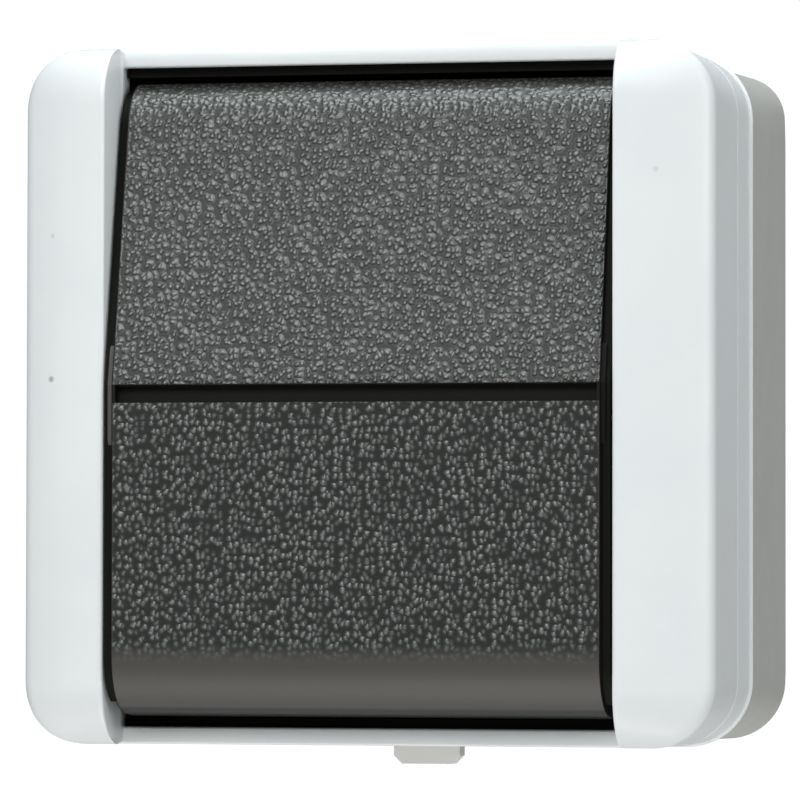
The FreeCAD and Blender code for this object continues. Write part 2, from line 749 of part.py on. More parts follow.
def frame():
    """Black frame that stands in the window behind the rocker and carries its pins."""
    body = moulding("rocker_frame")
    sketch = drawing(body, "flange", "front", floorBack)
    rounded(sketch, "dims.flange_wide", "dims.flange_tall", "dims.body_corner - dims.rim_wall")
    pad(body, sketch, "dims.floor_thick")

    outX = f"({rebateX} - dims.frame_gap)"
    outZ = f"({rebateZ} - dims.frame_gap)"
    inX = "(dims.rocker_wide / 2 + dims.pad_proud)"
    inZ = "(dims.rocker_reach + dims.end_radius + dims.swing_gap)"
    sketch = drawing(body, "floor", "front", floorBack)
    rectangle(sketch, f"-{outX}", outX, f"-{outZ}", outZ)
    pad(body, sketch, "dims.floor_thick")
    sketch = drawing(body, "collar", "front", f"{floorOut} - dims.floor_thick / 2")
    rectangle(sketch, f"-{outX}", outX, f"-{outZ}", outZ)
    rectangle(sketch, f"-{inX}", inX, f"-{inZ}", inZ)
    pad(body, sketch, "dims.floor_back + dims.floor_thick / 2 - dims.cheek_deep - dims.frame_gap")
    sketch = drawing(body, "end_rims", "front", floorOut)
    endX = "(dims.window_wide / 2 - dims.frame_gap)"
    for low, high in ((inZ, outZ), (f"-{outZ}", f"-{inZ}")):
        rectangle(sketch, f"-{endX}", endX, low, high)
    pad(body, sketch, "dims.floor_back - dims.bar_back - dims.lip_deep - dims.frame_gap")

    foot = f"-{floorOut} + dims.seat"
    for side in (-1, 1):
        start = f"{cheekX} - dims.cheek_thick" if side > 0 else f"-{cheekX}"
        sketch = drawing(body, f"cheek{side + 1}", "side", start)
        outline(sketch, [
            (foot, "dims.cheek_radius"), (foot, "-dims.cheek_radius"),
            (f"-{rockerAxis}", "-dims.cheek_radius", "-dims.cheek_radius * 1.000001"),
            (f"-{rockerAxis}", "dims.cheek_radius")])
        pad(body, sketch, "dims.cheek_thick")
    sketch = drawing(body, "pin_holes", "side")
    circle(sketch, f"-{rockerAxis}", "0", "dims.pin_radius")
    pocket(body, sketch, "dims.rocker_wide - 2 * dims.rocker_side", both=True)

    sketch = drawing(body, "leg_hole", "front", floorOut)
    rectangle(sketch, "-dims.leg_hole_wide / 2", "dims.leg_hole_wide / 2", "-dims.leg_hole_tall / 2",
              "dims.leg_hole_tall / 2")
    for side in (-1, 1):
        circle(sketch, f"{side} * dims.screw_across / 2", f"{-side} * dims.screw_apart / 2",
               "dims.screw_radius + dims.frame_gap")
    for x, z in spots("dims.post_across", "dims.post_apart"):
        circle(sketch, x, z, "dims.small_radius + dims.frame_gap")
    pocket(body, sketch, "dims.floor_thick")
    keep("rocker_frame", body)


def rocker():
    """Dark rocker, drawn about its axis in the middle position: two faces that meet in a ridge."""
    body = moulding("rocker")
    reach = "dims.rocker_reach"
    ridge = f"((dims.end_radius + {reach} * sin{halfTilt}) / cos{halfTilt})"
    shoulderY = f"(-dims.end_radius * cos{halfTilt})"

    def section(sketch, shrink):
        roll = f"(dims.end_radius - {shrink})"
        topZ = f"({reach} + {roll} * sin{halfTilt})"
        topY = f"(-{roll} * cos{halfTilt})"
        peak = f"-(({roll} + {reach} * sin{halfTilt}) / cos{halfTilt})"
        sideZ = f"({reach} + {roll})"
        base = "dims.skirt" if shrink == "0" else "dims.skirt + 1"
        outline(sketch, [
            (base, f"-{sideZ}"), (base, sideZ), ("0", sideZ, roll), (topY, topZ), (peak, "0"),
            (topY, f"-{topZ}", roll), ("0", f"-{sideZ}")])

    sketch = drawing(body, "outside", "side")
    section(sketch, "0")
    pad(body, sketch, "dims.rocker_wide", both=True)
    sketch = drawing(body, "inside", "side")
    section(sketch, "dims.rocker_wall")
    pocket(body, sketch, "dims.rocker_wide - 2 * dims.rocker_side", both=True)

    sketch = drawing(body, "groove", "side")
    face = f"-(({ridge}) - dims.groove_low * tan{halfTilt})"
    outline(sketch, [
        (f"{face} + dims.groove_deep", "-(dims.groove_low + dims.groove_wide / 2)"),
        (f"{face} + dims.groove_deep", "-(dims.groove_low - dims.groove_wide / 2)"),
        (f"{face} - 1", "-(dims.groove_low - dims.groove_wide / 2)"),
        (f"{face} - 1", "-(dims.groove_low + dims.groove_wide / 2)")])
    pocket(body, sketch, "dims.rocker_wide - 2 * dims.groove_end", both=True)

    padTop = "(dims.pad_tall / 2 - dims.groove_low)"
    padLow = "-(dims.pad_tall / 2 + dims.groove_low)"
    nose = "dims.end_radius / 6"
    for side in (-1, 1):
        start = "dims.rocker_wide / 2" if side > 0 else "-(dims.rocker_wide / 2 + dims.pad_proud)"
        sketch = drawing(body, f"pad{side + 1}", "side", start)
        lowFace = f"-({ridge} - {padTop} * tan{halfTilt}) + dims.pad_drop"
        farFace = f"-({ridge} + {padLow} * tan{halfTilt}) + dims.pad_drop"
        outline(sketch, [
            ("dims.pad_skirt", padTop), (f"{lowFace} + {nose}", padTop, f"{nose} * 1.2"),
            (lowFace, f"{padTop} - {nose}"), (f"-{ridge} + 0.2", "0"),
            (farFace, f"{padLow} + {nose}", f"{nose} * 1.2"), (f"{farFace} + {nose}", padLow),
            ("dims.pad_skirt", padLow)])
        pad(body, sketch, "dims.pad_proud")

    sketch = drawing(body, "pin_holes", "side")
    circle(sketch, "0", "0", "dims.pin_radius + dims.running_gap")
    pocket(body, sketch, "dims.rocker_wide - 0.4", both=True)

    sketch = drawing(body, "leg", "side")
    shank = "dims.leg_thick / 2"
    root = f"-{ridge} + dims.rocker_wall * 0.8"
    outline(sketch, [
        (root, f"-{shank}"), ("dims.leg_reach", f"-{shank}"), ("dims.leg_reach", shank), (root, shank)])
    pad(body, sketch, "dims.leg_wide", both=True)
    sketch = drawing(body, "tip", "side")
    circle(sketch, "dims.leg_reach", "0", "dims.tip_radius")
    pad(body, sketch, "dims.leg_wide", both=True)

    sketch = drawing(body, "ribs", "side")
    inside = f"-({ridge} - dims.rocker_wall * 0.7)"
    for side in (-1, 1):
        outline(sketch, [
            (inside, f"{side} * dims.leg_thick * 0.4"), (f"{inside} + 5", f"{side} * dims.leg_thick * 0.4"),
            (f"{shoulderY} + dims.rocker_wall * 1.2", f"{side} * {reach} * 0.86"),
            (f"{shoulderY} + dims.rocker_wall * 0.5", f"{side} * {reach} * 0.86")])
    pad(body, sketch, "dims.rocker_side * 0.7", both=True)
    hang(body, rockerAxis, restRocker)
    keep("rocker", body)


def rockerPins():
    start = f"({cheekX} - dims.cheek_thick)"
    length = "(dims.rocker_side + dims.cheek_gap + dims.cheek_thick - dims.pin_inset)"
    right = rod("pin_right", "dims.pin_radius", length, start, rockerAxis, "0", "right")
    left = rod("pin_left", "dims.pin_radius", length, f"-{start} - {length}", rockerAxis, "0", "right")
    keep("rocker_pins", group("rocker_pins_group", [right, left]))


def legBoot():
    """Rubber boot on the floor of the frame, a funnel round the rocker's leg."""
    wide = "(dims.boot_radius - dims.boot_step)"
    foot = rod("boot_foot", "dims.boot_radius", "dims.boot_skin", "0", floorOut, "0")
    funnel = cone("boot_funnel", wide, "dims.boot_neck + dims.boot_skin", "dims.boot_tall",
                  "0", floorOut, "0")
    hollow = cone("boot_hollow", f"{wide} - dims.boot_skin", "dims.boot_neck", "dims.boot_tall",
                  "0", floorOut, "0")
    keep("leg_boot", cut("leg_boot_cut", fuse("leg_boot_solid", [foot, funnel]), [hollow]))


def coverScrews():
    screws = []
    for number, side in enumerate((-1, 1)):
        x = f"{side} * dims.screw_across / 2"
        z = f"{-side} * dims.screw_apart / 2"
        shank = rod(f"cover_shank{number}", "dims.screw_radius", "dims.screw_long", x,
                    f"{floorOut} - dims.screw_long", z)
        head = rod(f"cover_head{number}", "dims.screw_head", "dims.screw_head_tall", x, floorOut, z)
        screws.append(slotted(f"cover_screw{number}", [shank, head], x, z,
                              f"{floorOut} + dims.screw_head_tall", "dims.screw_head"))
    keep("cover_screws", group("cover_screws_group", screws))


def frameScrews():
    screws = []
    for number, (x, z) in enumerate(spots("dims.post_across", "dims.post_apart")):
        shank = rod(f"frame_shank{number}", "dims.small_radius", "dims.small_long", x, floorBack, z)
        head = rod(f"frame_head{number}", "dims.small_head", "dims.small_head_tall", x,
                   f"{floorBack} - dims.small_head_tall", z)
        screws.append(fuse(f"frame_screw{number}", [shank, head]))
    keep("frame_screws", group("frame_screws_group", screws))


def mechanismBase():
    """Open insulating base with posts for the rivets, pockets for the clamps and wire ways."""
    body = moulding("mechanism_base")
    sketch = drawing(body, "outside", "front", "dims.base_out")
    rounded(sketch, "dims.base_wide", "dims.base_tall", "dims.base_wall")
    pad(body, sketch, "dims.base_top - dims.base_out")
    sketch = drawing(body, "inside", "front", "dims.base_top")
    rectangle(sketch, "-(dims.base_wide / 2 - dims.base_wall)", "dims.base_wide / 2 - dims.base_wall",
              "-(dims.base_tall / 2 - dims.base_wall)", "dims.base_tall / 2 - dims.base_wall")
    pocket(body, sketch, "dims.base_top - dims.strip_out")
    sketch = drawing(body, "posts", "front", "dims.strip_out - dims.seat")
    for x, z in spots("dims.rivet_across", "dims.rivet_apart"):
        circle(sketch, x, z, "dims.rivet_head + dims.base_wall * 0.4")
    pad(body, sketch, "dims.base_top - dims.strip_out + dims.seat")
    sketch = drawing(body, "rivet_holes", "front", "dims.base_top")
    for x, z in spots("dims.rivet_across", "dims.rivet_apart"):
        circle(sketch, x, z, "dims.rivet_radius")
    pocket(body, sketch, "dims.base_top - dims.base_out")
    sketch = drawing(body, "clamp_pockets", "front", "dims.strip_out")
    for x, z in clampSpots:
        halfX = "(dims.clamp_long / 2 + dims.clamp_play)"
        halfZ = "(dims.clamp_wide / 2 + dims.clamp_play)"
        rectangle(sketch, f"{x} - {halfX}", f"{x} + {halfX}", f"{z} - {halfZ}", f"{z} + {halfZ}")
    pocket(body, sketch, "dims.clamp_wall")
    for number, (x, z) in enumerate(clampSpots):
        side = 1 if value(x) > 0 else -1
        sketch = drawing(body, f"wire_way{number}", "side", f"{side} * (dims.base_wide / 2 + dims.seat)")
        circle(sketch, f"-({stripTop} + dims.wire_rise)", z, "dims.wire_way")
        pocket(body, sketch, "dims.base_wall + 2 * dims.seat", reverse=side < 0)
    keep("mechanism_base", body)


clampSpots = [("-dims.clamp_x", "dims.contact_reach"), ("-dims.clamp_x", "-dims.contact_reach"),
              ("dims.clamp_x", "0")]


def mechanismLid():
    """Lid of the base with a slot for the fork and two lugs that carry the axle."""
    body = moulding("mechanism_lid")
    sketch = drawing(body, "plate", "front", "dims.base_top")
    rounded(sketch, "dims.base_wide", "dims.base_tall", "dims.base_wall")
    pad(body, sketch, "dims.lid_thick")
    slotX = "(dims.fork_wide / 2 + dims.slot_gap)"
    slotZ = "(dims.tip_radius + dims.fork_slack + dims.fork_thick + dims.swing_room)"
    sketch = drawing(body, "slot_rim", "front", "dims.base_top")
    rectangle(sketch, f"-({slotX} + dims.lid_thick)", f"{slotX} + dims.lid_thick",
              f"-({slotZ} + dims.lid_thick)", f"{slotZ} + dims.lid_thick")
    pad(body, sketch, "dims.lid_thick + dims.slot_rim")
    lugX = "(dims.hub_wide / 2 + dims.lug_gap)"
    for side in (-1, 1):
        start = lugX if side > 0 else f"-({lugX} + 2 * dims.base_wall)"
        sketch = drawing(body, f"lug{side + 1}", "side", start)
        lug = "dims.axle_radius + dims.base_wall"
        outline(sketch, [
            ("-dims.base_top - dims.lug_gap", f"{lug}"), ("-dims.base_top - dims.lug_gap", f"-({lug})"),
            (f"-{tumblerAxis}", f"-({lug})", f"({lug}) * 1.000001"), (f"-{tumblerAxis}", lug)])
        pad(body, sketch, "2 * dims.base_wall")
    sketch = drawing(body, "slot", "front", f"{lidTop} + dims.slot_rim")
    rectangle(sketch, f"-{slotX}", slotX, f"-{slotZ}", slotZ)
    pocket(body, sketch, "dims.lid_thick + dims.slot_rim")
    sketch = drawing(body, "axle_hole", "side")
    circle(sketch, f"-{tumblerAxis}", "0", "dims.axle_radius")
    pocket(body, sketch, "dims.base_wide", both=True)
    sketch = drawing(body, "driver_holes", "front", lidTop)
    for x, z in clampSpots:
        circle(sketch, x, z, "dims.clamp_head + dims.lug_gap")
    for x, z in spots("dims.rivet_across", "dims.rivet_apart"):
        circle(sketch, x, z, "dims.rivet_radius")
    pocket(body, sketch, "dims.lid_thick")
    keep("mechanism_lid", body)


def supportPlate():
    """Steel plate that carries the mechanism on the two bosses of the box."""
    body = moulding("support_plate")
    sketch = drawing(body, "sheet", "front", lidTop)
    rounded(sketch, "dims.plate_wide", "dims.plate_tall", "dims.plate_corner")
    rounded(sketch, "dims.rivet_across - 2 * dims.plate_rim", "dims.rivet_apart - 2 * dims.plate_rim",
            "dims.plate_corner / 2")
    for x, z in spots("dims.rivet_across", "dims.rivet_apart"):
        circle(sketch, x, z, "dims.rivet_radius")
    for side in (-1, 1):
        circle(sketch, f"{side} * dims.plate_screws / 2", "0", "dims.small_radius")
    pad(body, sketch, "dims.plate_thick")
    keep("support_plate", body)


def plateFixings():
    screws = []
    for number, side in enumerate((-1, 1)):
        x = f"{side} * dims.plate_screws / 2"
        shank = rod(f"plate_shank{number}", "dims.small_radius", "dims.small_long", x,
                    f"{plateTop} - dims.small_long", "0")
        head = rod(f"plate_head{number}", "dims.small_head", "dims.small_head_tall", x, plateTop, "0")
        screws.append(slotted(f"plate_screw{number}", [shank, head], x, "0",
                              f"{plateTop} + dims.small_head_tall", "dims.small_head"))
    keep("plate_screws", group("plate_screws_group", screws))
    rivets = []
    for number, (x, z) in enumerate(spots("dims.rivet_across", "dims.rivet_apart")):
        shank = rod(f"rivet_shank{number}", "dims.rivet_radius", f"{plateTop} - dims.base_out", x,
                    "dims.base_out", z)
        head = rod(f"rivet_head{number}", "dims.rivet_head", "dims.rivet_head_tall", x, plateTop, z)
        rivets.append(fuse(f"rivet{number}", [shank, head]))
    keep("plate_rivets", group("plate_rivets_group", rivets))


def tumbler():
    """Rocking tumbler about its axle: a fork towards the front, a spring barrel towards the back."""
    body = moulding("tumbler")
    sketch = drawing(body, "hub", "side")
    circle(sketch, "0", "0", "dims.hub_radius")
    pad(body, sketch, "dims.hub_wide", both=True)
    sketch = drawing(body, "fork", "side")
    near = "(dims.tip_radius + dims.fork_slack)"
    far = f"({near} + dims.fork_thick)"
    top = "(dims.leg_reach / dims.tumbler_gain + dims.fork_over)"
    bottom = "(dims.leg_reach / dims.tumbler_gain - dims.tip_radius - dims.seat)"
    outline(sketch, [
        ("0", f"-{near}"), ("0", near), (f"-{bottom} + 3", far), (f"-{top}", far), (f"-{top}", near),
        (f"-{bottom}", near), (f"-{bottom}", f"-{near}"), (f"-{top}", f"-{near}"), (f"-{top}", f"-{far}"),
        (f"-{bottom} + 3", f"-{far}")])
    pad(body, sketch, "dims.fork_wide", both=True)
    sketch = drawing(body, "barrel", "front", "-dims.barrel_reach")
    circle(sketch, "0", "0", "dims.barrel_radius")
    pad(body, sketch, "dims.barrel_reach")
    sketch = drawing(body, "bore", "front", "-dims.barrel_reach")
    circle(sketch, "0", "0", "dims.spring_radius + dims.running_gap")
    pocket(body, sketch, "dims.barrel_reach - dims.spring_start", reverse=True)
    sketch = drawing(body, "axle_hole", "side")
    circle(sketch, "0", "0", "dims.axle_radius + dims.running_gap")
    pocket(body, sketch, "dims.hub_wide + 1", both=True)
    hang(body, tumblerAxis, restTumbler)
    keep("tumbler", body)

    half = "(dims.hub_wide / 2 + dims.lug_gap + 2 * dims.base_wall)"
    axle = rod("axle_rod", "dims.axle_radius", f"2 * {half}", f"-{half}", tumblerAxis, "0", "right")
    keep("tumbler_axle", axle)


def spring():
    """Coil in the barrel between the hub and the plunger."""
    rise = "(dims.spring_end - dims.spring_start - dims.spring_wire)"
    path = doc.addObject("Part::Helix", "spring_path")
    path.setExpression("Radius", "dims.spring_radius - dims.spring_wire / 2")
    path.setExpression("Height", rise)
    path.setExpression("Pitch", f"{rise} / dims.spring_turns")
    path.setExpression("Placement.Base.z", "dims.spring_start + dims.spring_wire / 2")
    ring = doc.addObject("Part::RegularPolygon", "spring_wire_section")
    ring.Polygon = 6
    ring.setExpression("Circumradius", "dims.spring_wire / 2")
    ring.Placement = Placement(Vector(), turns["out"])
    ring.setExpression("Placement.Base.x", "dims.spring_radius - dims.spring_wire / 2")
    ring.setExpression("Placement.Base.z", "dims.spring_start + dims.spring_wire / 2")
    coil = doc.addObject("Part::Sweep", "toggle_spring_coil")
    coil.Sections = [ring]
    coil.Spine = (path, [])
    coil.Solid = True
    coil.Frenet = True
    hang(coil, tumblerAxis, f"{restTumbler} - 90")
    keep("toggle_spring", coil)


plungerReach = f"({tumblerAxis} - {leverFace} - dims.plunger_gap)"


def plunger():
    """Brass cap on the spring with a round nose that presses on the contact lever."""
    stem = rod("plunger_stem", "dims.spring_radius - dims.running_gap",
               f"{plungerReach} - dims.spring_end - dims.plunger_tip * 0.6", "0",
               f"-({plungerReach} - dims.plunger_tip * 0.6)", "0")
    nose = ball("plunger_nose", "dims.plunger_tip", "0", f"-({plungerReach} - dims.plunger_tip)", "0")
    item = fuse("plunger_solid", [stem, nose])
    hang(item, tumblerAxis, restTumbler)
    keep("plunger", item)


def contactLever():
    """See-saw contact drawn about its pivot, with a cross pin that rests in the common yoke."""
    tip = "(dims.contact_reach + dims.contact_radius + dims.lever_end)"
    plate = block("lever_plate", "-dims.lever_wide / 2", "dims.lever_wide / 2", "-dims.lever_thick / 2",
                  "dims.lever_thick / 2", f"-{tip}", tip)
    reach = "(dims.lever_wide / 2 + dims.swing_room)"
    pin = rod("lever_pin", "dims.pivot_radius", f"2 * {reach}", f"-{reach}", "0", "0", "right")
    lever = fuse("contact_lever_solid", [plate, pin])
    hang(lever, "dims.lever_out", restLever)
    keep("contact_lever", lever)
    rivets = []
    for number, side in enumerate((-1, 1)):
        rivets.append(cone(f"lever_rivet{number}", "dims.contact_radius * 0.8", "dims.contact_radius",
                           "dims.contact_tall", "0", "-(dims.lever_thick / 2 + dims.contact_tall)",
                           f"{side} * dims.contact_reach"))
    buttons = group("lever_rivets_group", rivets)
    hang(buttons, "dims.lever_out", restLever)
    keep("lever_rivets", buttons)


def fixedContacts():
    """Strips on the base: two under the ends of the lever, one with the yoke in the middle."""
    rivets = []
    stripEnd = "(dims.clamp_x + dims.clamp_long / 2 + dims.slot_gap)"
    halfWide = "dims.strip_wide / 2"
    for name, side in (("upper_contact", 1), ("lower_contact", -1)):
        z = f"{side} * dims.contact_reach"
        keep(name, block(name + "_strip", f"-{stripEnd}", "dims.contact_radius + dims.slot_gap",
                         "dims.strip_out", stripTop, f"{z} - {halfWide}", f"{z} + {halfWide}"))
        rivets.append(cone(f"{name}_rivet", "dims.contact_radius", "dims.contact_radius * 0.8",
                           "dims.fixed_tall", "0", stripTop, z))
    keep("fixed_rivets", group("fixed_rivets_group", rivets))

    lugX = "(dims.lever_wide / 2 + dims.lever_end)"
    strip = block("common_strip", f"-({lugX} + dims.strip_thick)", stripEnd, "dims.strip_out", stripTop,
                  f"-{halfWide}", halfWide)
    yokes = []
    for number, side in enumerate((-1, 1)):
        left = lugX if side > 0 else f"-({lugX} + dims.strip_thick)"
        yokes.append(block(f"yoke{number}", left, f"{left} + dims.strip_thick", "dims.strip_out",
                           "dims.lever_out + dims.yoke_over", "-dims.yoke_half", "dims.yoke_half"))
    hole = rod("yoke_hole", "dims.pivot_radius + dims.running_gap", f"2 * ({lugX} + 2)", f"-({lugX} + 2)",
               "dims.lever_out", "0", "right")
    solid = fuse("common_terminal_solid", [strip] + yokes)
    keep("common_terminal", cut("common_terminal_cut", solid, [hole]))


def clamps():
    """Brass sleeves round the strips, each with a screw that presses on the wire."""
    sleeves = []
    screws = []
    low = "(dims.strip_out - dims.clamp_wall)"
    high = f"({low} + dims.clamp_tall)"
    seat = f"({high} + dims.clamp_lift)"
    for number, (x, z) in enumerate(clampSpots):
        left = f"{x} - dims.clamp_long / 2"
        right = f"{x} + dims.clamp_long / 2"
        below = f"{z} - dims.clamp_wide / 2"
        above = f"{z} + dims.clamp_wide / 2"
        shell = block(f"sleeve_shell{number}", left, right, low, high, below, above)
        way = block(f"sleeve_way{number}", f"{left} - 1", f"{right} + 1",
                    "dims.strip_out", f"{high} - dims.clamp_wall * 1.6",
                    f"{below} + dims.clamp_wall", f"{above} - dims.clamp_wall")
        thread = rod(f"sleeve_thread{number}", "dims.clamp_screw", "dims.clamp_wall * 3", x,
                     f"{high} - dims.clamp_wall * 2", z)
        sleeves.append(cut(f"sleeve{number}", shell, [way, thread]))
        shank = rod(f"clamp_shank{number}", "dims.clamp_screw", "dims.clamp_tall * 0.55", x,
                    f"{seat} - dims.clamp_tall * 0.55", z)
        head = rod(f"clamp_head{number}", "dims.clamp_head", "dims.small_head_tall", x, seat, z)
        screws.append(slotted(f"clamp_screw{number}", [shank, head], x, z, f"{seat} + dims.small_head_tall",
                              "dims.clamp_head"))
    keep("clamp_sleeves", group("clamp_sleeves_group", sleeves))
    keep("clamp_screws", group("clamp_screws_group", screws))


rearBox()
cableSeal()
boxGasket()
cover()
frame()
rocker()
rockerPins()
legBoot()
coverScrews()
frameScrews()
mechanismBase()
mechanismLid()
supportPlate()
plateFixings()
tumbler()
spring()
plunger()
contactLever()
fixedContacts()
clamps()
loopTerminal()
doc.recompute()

# Nothing is written unless every object came out whole
for item in doc.Objects:
    if "Invalid" in item.State or "Error" in item.State:
        raise RuntimeError(f"{item.Label} failed: {item.State}")
for name, item in nodes.items():
    if item.Shape.isNull() or not item.Shape.isValid():
        raise RuntimeError(f"{name} has no sound shape")

os.makedirs("parts", exist_ok=True)
for name, item in nodes.items():
    item.Shape.exportStep(f"parts/{name}.step")
    box = item.Shape.BoundBox
    print(f"{name}: {len(item.Shape.Solids)} solids, {item.Shape.Volume:.1f} mm3, "
          f"{box.XLength:.1f} x {box.YLength:.1f} x {box.ZLength:.1f}")
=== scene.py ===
import json
import math
import bmesh
import bpy
from mathutils import Matrix, Vector


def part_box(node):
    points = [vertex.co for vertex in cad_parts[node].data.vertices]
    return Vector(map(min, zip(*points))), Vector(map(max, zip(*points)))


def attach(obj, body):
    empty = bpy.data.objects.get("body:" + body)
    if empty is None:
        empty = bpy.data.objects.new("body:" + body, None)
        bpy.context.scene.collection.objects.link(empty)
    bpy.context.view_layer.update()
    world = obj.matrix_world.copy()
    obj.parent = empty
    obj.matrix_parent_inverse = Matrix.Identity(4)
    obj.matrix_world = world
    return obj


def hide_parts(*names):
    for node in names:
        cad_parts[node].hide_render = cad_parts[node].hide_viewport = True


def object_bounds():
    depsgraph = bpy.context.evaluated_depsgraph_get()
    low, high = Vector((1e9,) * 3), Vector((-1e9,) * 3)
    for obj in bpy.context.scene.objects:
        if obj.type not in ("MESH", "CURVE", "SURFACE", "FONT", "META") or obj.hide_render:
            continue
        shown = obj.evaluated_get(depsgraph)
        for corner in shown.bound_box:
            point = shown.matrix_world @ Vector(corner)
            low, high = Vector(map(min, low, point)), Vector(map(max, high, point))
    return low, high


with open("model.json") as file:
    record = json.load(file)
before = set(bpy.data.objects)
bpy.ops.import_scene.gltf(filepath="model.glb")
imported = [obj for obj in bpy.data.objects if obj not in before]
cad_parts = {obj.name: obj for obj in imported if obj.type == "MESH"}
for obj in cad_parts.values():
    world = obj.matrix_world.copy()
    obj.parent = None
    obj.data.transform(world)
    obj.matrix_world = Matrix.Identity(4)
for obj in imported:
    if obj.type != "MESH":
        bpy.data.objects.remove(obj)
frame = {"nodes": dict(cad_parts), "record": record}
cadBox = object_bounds()
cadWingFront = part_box("cover")[0].y
mm = 0.001
weldDistance = 0.001 * mm
smoothBelow = 32                   # degrees; a sharper edge stays a sharp edge
print("frame loaded")


# Camera: fitted to the outlines in the photograph, which is 800 by 785 pixels

cameraValues = {
    "yaw": 12.57,                  # degrees to the right of the switch
    "pitch": 1.87,                 # degrees below it
    "roll": 0.12,
    "distance": 541 * mm,          # from the middle of the wings' front
    "focalPixels": 5838,
    "middle": (354.74, 392.82),    # where the optical axis meets the photograph
    "photo": (800, 785),
    "sensor": 36.0,
}


def placeCamera(values):
    yaw = math.radians(values["yaw"])
    pitch = math.radians(values["pitch"])
    wide, tall = values["photo"]
    ahead = Vector((-math.sin(yaw) * math.cos(pitch), math.cos(yaw) * math.cos(pitch), math.sin(pitch)))
    target = Vector((0, cadWingFront, 0))
    data = bpy.data.cameras.new("camera")
    data.sensor_width = values["sensor"]
    data.lens = values["focalPixels"] / wide * values["sensor"]
    data.shift_x = (wide / 2 - values["middle"][0]) / wide
    data.shift_y = (values["middle"][1] - tall / 2) / wide
    camera = bpy.data.objects.new("camera", data)
    bpy.context.scene.collection.objects.link(camera)
    camera.rotation_mode = "QUATERNION"
    camera.location = target - ahead * values["distance"]
    turn = Matrix.Rotation(-math.radians(values["roll"]), 3, ahead)
    camera.rotation_quaternion = turn.to_quaternion() @ ahead.to_track_quat("-Z", "Y")
    bpy.context.scene.camera = camera


placeCamera(cameraValues)
print("camera placed")


# Node helpers

def addNode(tree, kind, **settings):
    node = tree.nodes.new(kind)
    for name, value in settings.items():
        setattr(node, name, value)
    return node


def join(tree, source, target):
    tree.links.new(source, target)


# A number or a vector is set on the socket, a colour gets its alpha, anything else is linked
def feed(tree, value, socket):
    if isinstance(value, (int, float)):
        socket.default_value = value
    elif isinstance(value, tuple):
        socket.default_value = value if socket.type == "VECTOR" else (*value, 1.0)
    else:
        join(tree, value, socket)


def newMaterial(name):
    material = bpy.data.materials.new(name)
    material.use_nodes = True
    tree = material.node_tree
    tree.nodes.clear()
    shader = addNode(tree, "ShaderNodeBsdfPrincipled")
    output = addNode(tree, "ShaderNodeOutputMaterial")
    join(tree, shader.outputs["BSDF"], output.inputs["Surface"])
    return material, tree, shader


def mathNode(tree, operation, first, second=None, clamp=False):
    node = addNode(tree, "ShaderNodeMath", operation=operation, use_clamp=clamp)
    feed(tree, first, node.inputs[0])
    if second is not None:
        feed(tree, second, node.inputs[1])
    return node.outputs[0]


def vectorNode(tree, operation, first, second):
    node = addNode(tree, "ShaderNodeVectorMath", operation=operation)
    feed(tree, first, node.inputs[0])
    feed(tree, second, node.inputs["Scale" if operation == "SCALE" else 1])
    return node.outputs["Value" if operation == "DISTANCE" else 0]


def rangeNode(tree, value, fromLow, fromHigh, toLow=0.0, toHigh=1.0, smooth=True):
    node = addNode(tree, "ShaderNodeMapRange", interpolation_type="SMOOTHSTEP" if smooth else "LINEAR")
    join(tree, value, node.inputs["Value"])
    node.inputs["From Min"].default_value = fromLow
    node.inputs["From Max"].default_value = fromHigh
    node.inputs["To Min"].default_value = toLow
    node.inputs["To Max"].default_value = toHigh
    return node.outputs["Result"]


def mixColour(tree, factor, first, second):
    node = addNode(tree, "ShaderNodeMix", data_type="RGBA")
    for socket, value in ((0, factor), (6, first), (7, second)):
        feed(tree, value, node.inputs[socket])
    return node.outputs[2]


def splitPlace(tree, place):
    parts = addNode(tree, "ShaderNodeSeparateXYZ")
    join(tree, place, parts.inputs[0])
    return parts.outputs


def joinPlace(tree, **parts):
    place = addNode(tree, "ShaderNodeCombineXYZ")
    for label, value in parts.items():
        join(tree, value, place.inputs[label])
    return place.outputs[0]


def addBump(tree, shader, height, distance, strength=1.0):
    bump = addNode(tree, "ShaderNodeBump")
    bump.inputs["Strength"].default_value = strength
    bump.inputs["Distance"].default_value = distance
    join(tree, height, bump.inputs["Height"])
    join(tree, bump.outputs["Normal"], shader.inputs["Normal"])


def noiseNode(tree, place, scale, detail, **settings):
    noise = addNode(tree, "ShaderNodeTexNoise", **settings)
    join(tree, place, noise.inputs["Vector"])
    feed(tree, scale, noise.inputs["Scale"])
    noise.inputs["Detail"].default_value = detail
    return noise.outputs


def newGroup(name, inputs, outputs):
    tree = bpy.data.node_groups.new(name, "ShaderNodeTree")
    for way, sockets in (("INPUT", inputs), ("OUTPUT", outputs)):
        for label, kind in sockets.items():
            tree.interface.new_socket(label, in_out=way, socket_type=kind)
    return tree, addNode(tree, "NodeGroupInput").outputs, addNode(tree, "NodeGroupOutput").inputs


def useGroup(tree, group, **values):
    node = addNode(tree, "ShaderNodeGroup")
    node.node_tree = group
    for label, value in values.items():
        feed(tree, value, node.inputs[label])
    return node.outputs


def objectPlace(tree):
    return addNode(tree, "ShaderNodeTexCoord").outputs["Object"]


# The linear colour of a tone as it is read from a screen, 0 to 255
def linear(red, green, blue):
    parts = []
    for part in (red, green, blue):
        part = part / 255
        parts.append(part / 12.92 if part <= 0.04045 else ((part + 0.055) / 1.055) ** 2.4)
    return tuple(parts)


# Shared finishes, as node groups that put out masks and heights

numberSocket, vectorSocket = "NodeSocketFloat", "NodeSocketVector"

skinValues = {
    "grainDetail": 3.0,
    "cloudDetail": 4.0,
    "cloudRange": (0.3, 0.7),
}


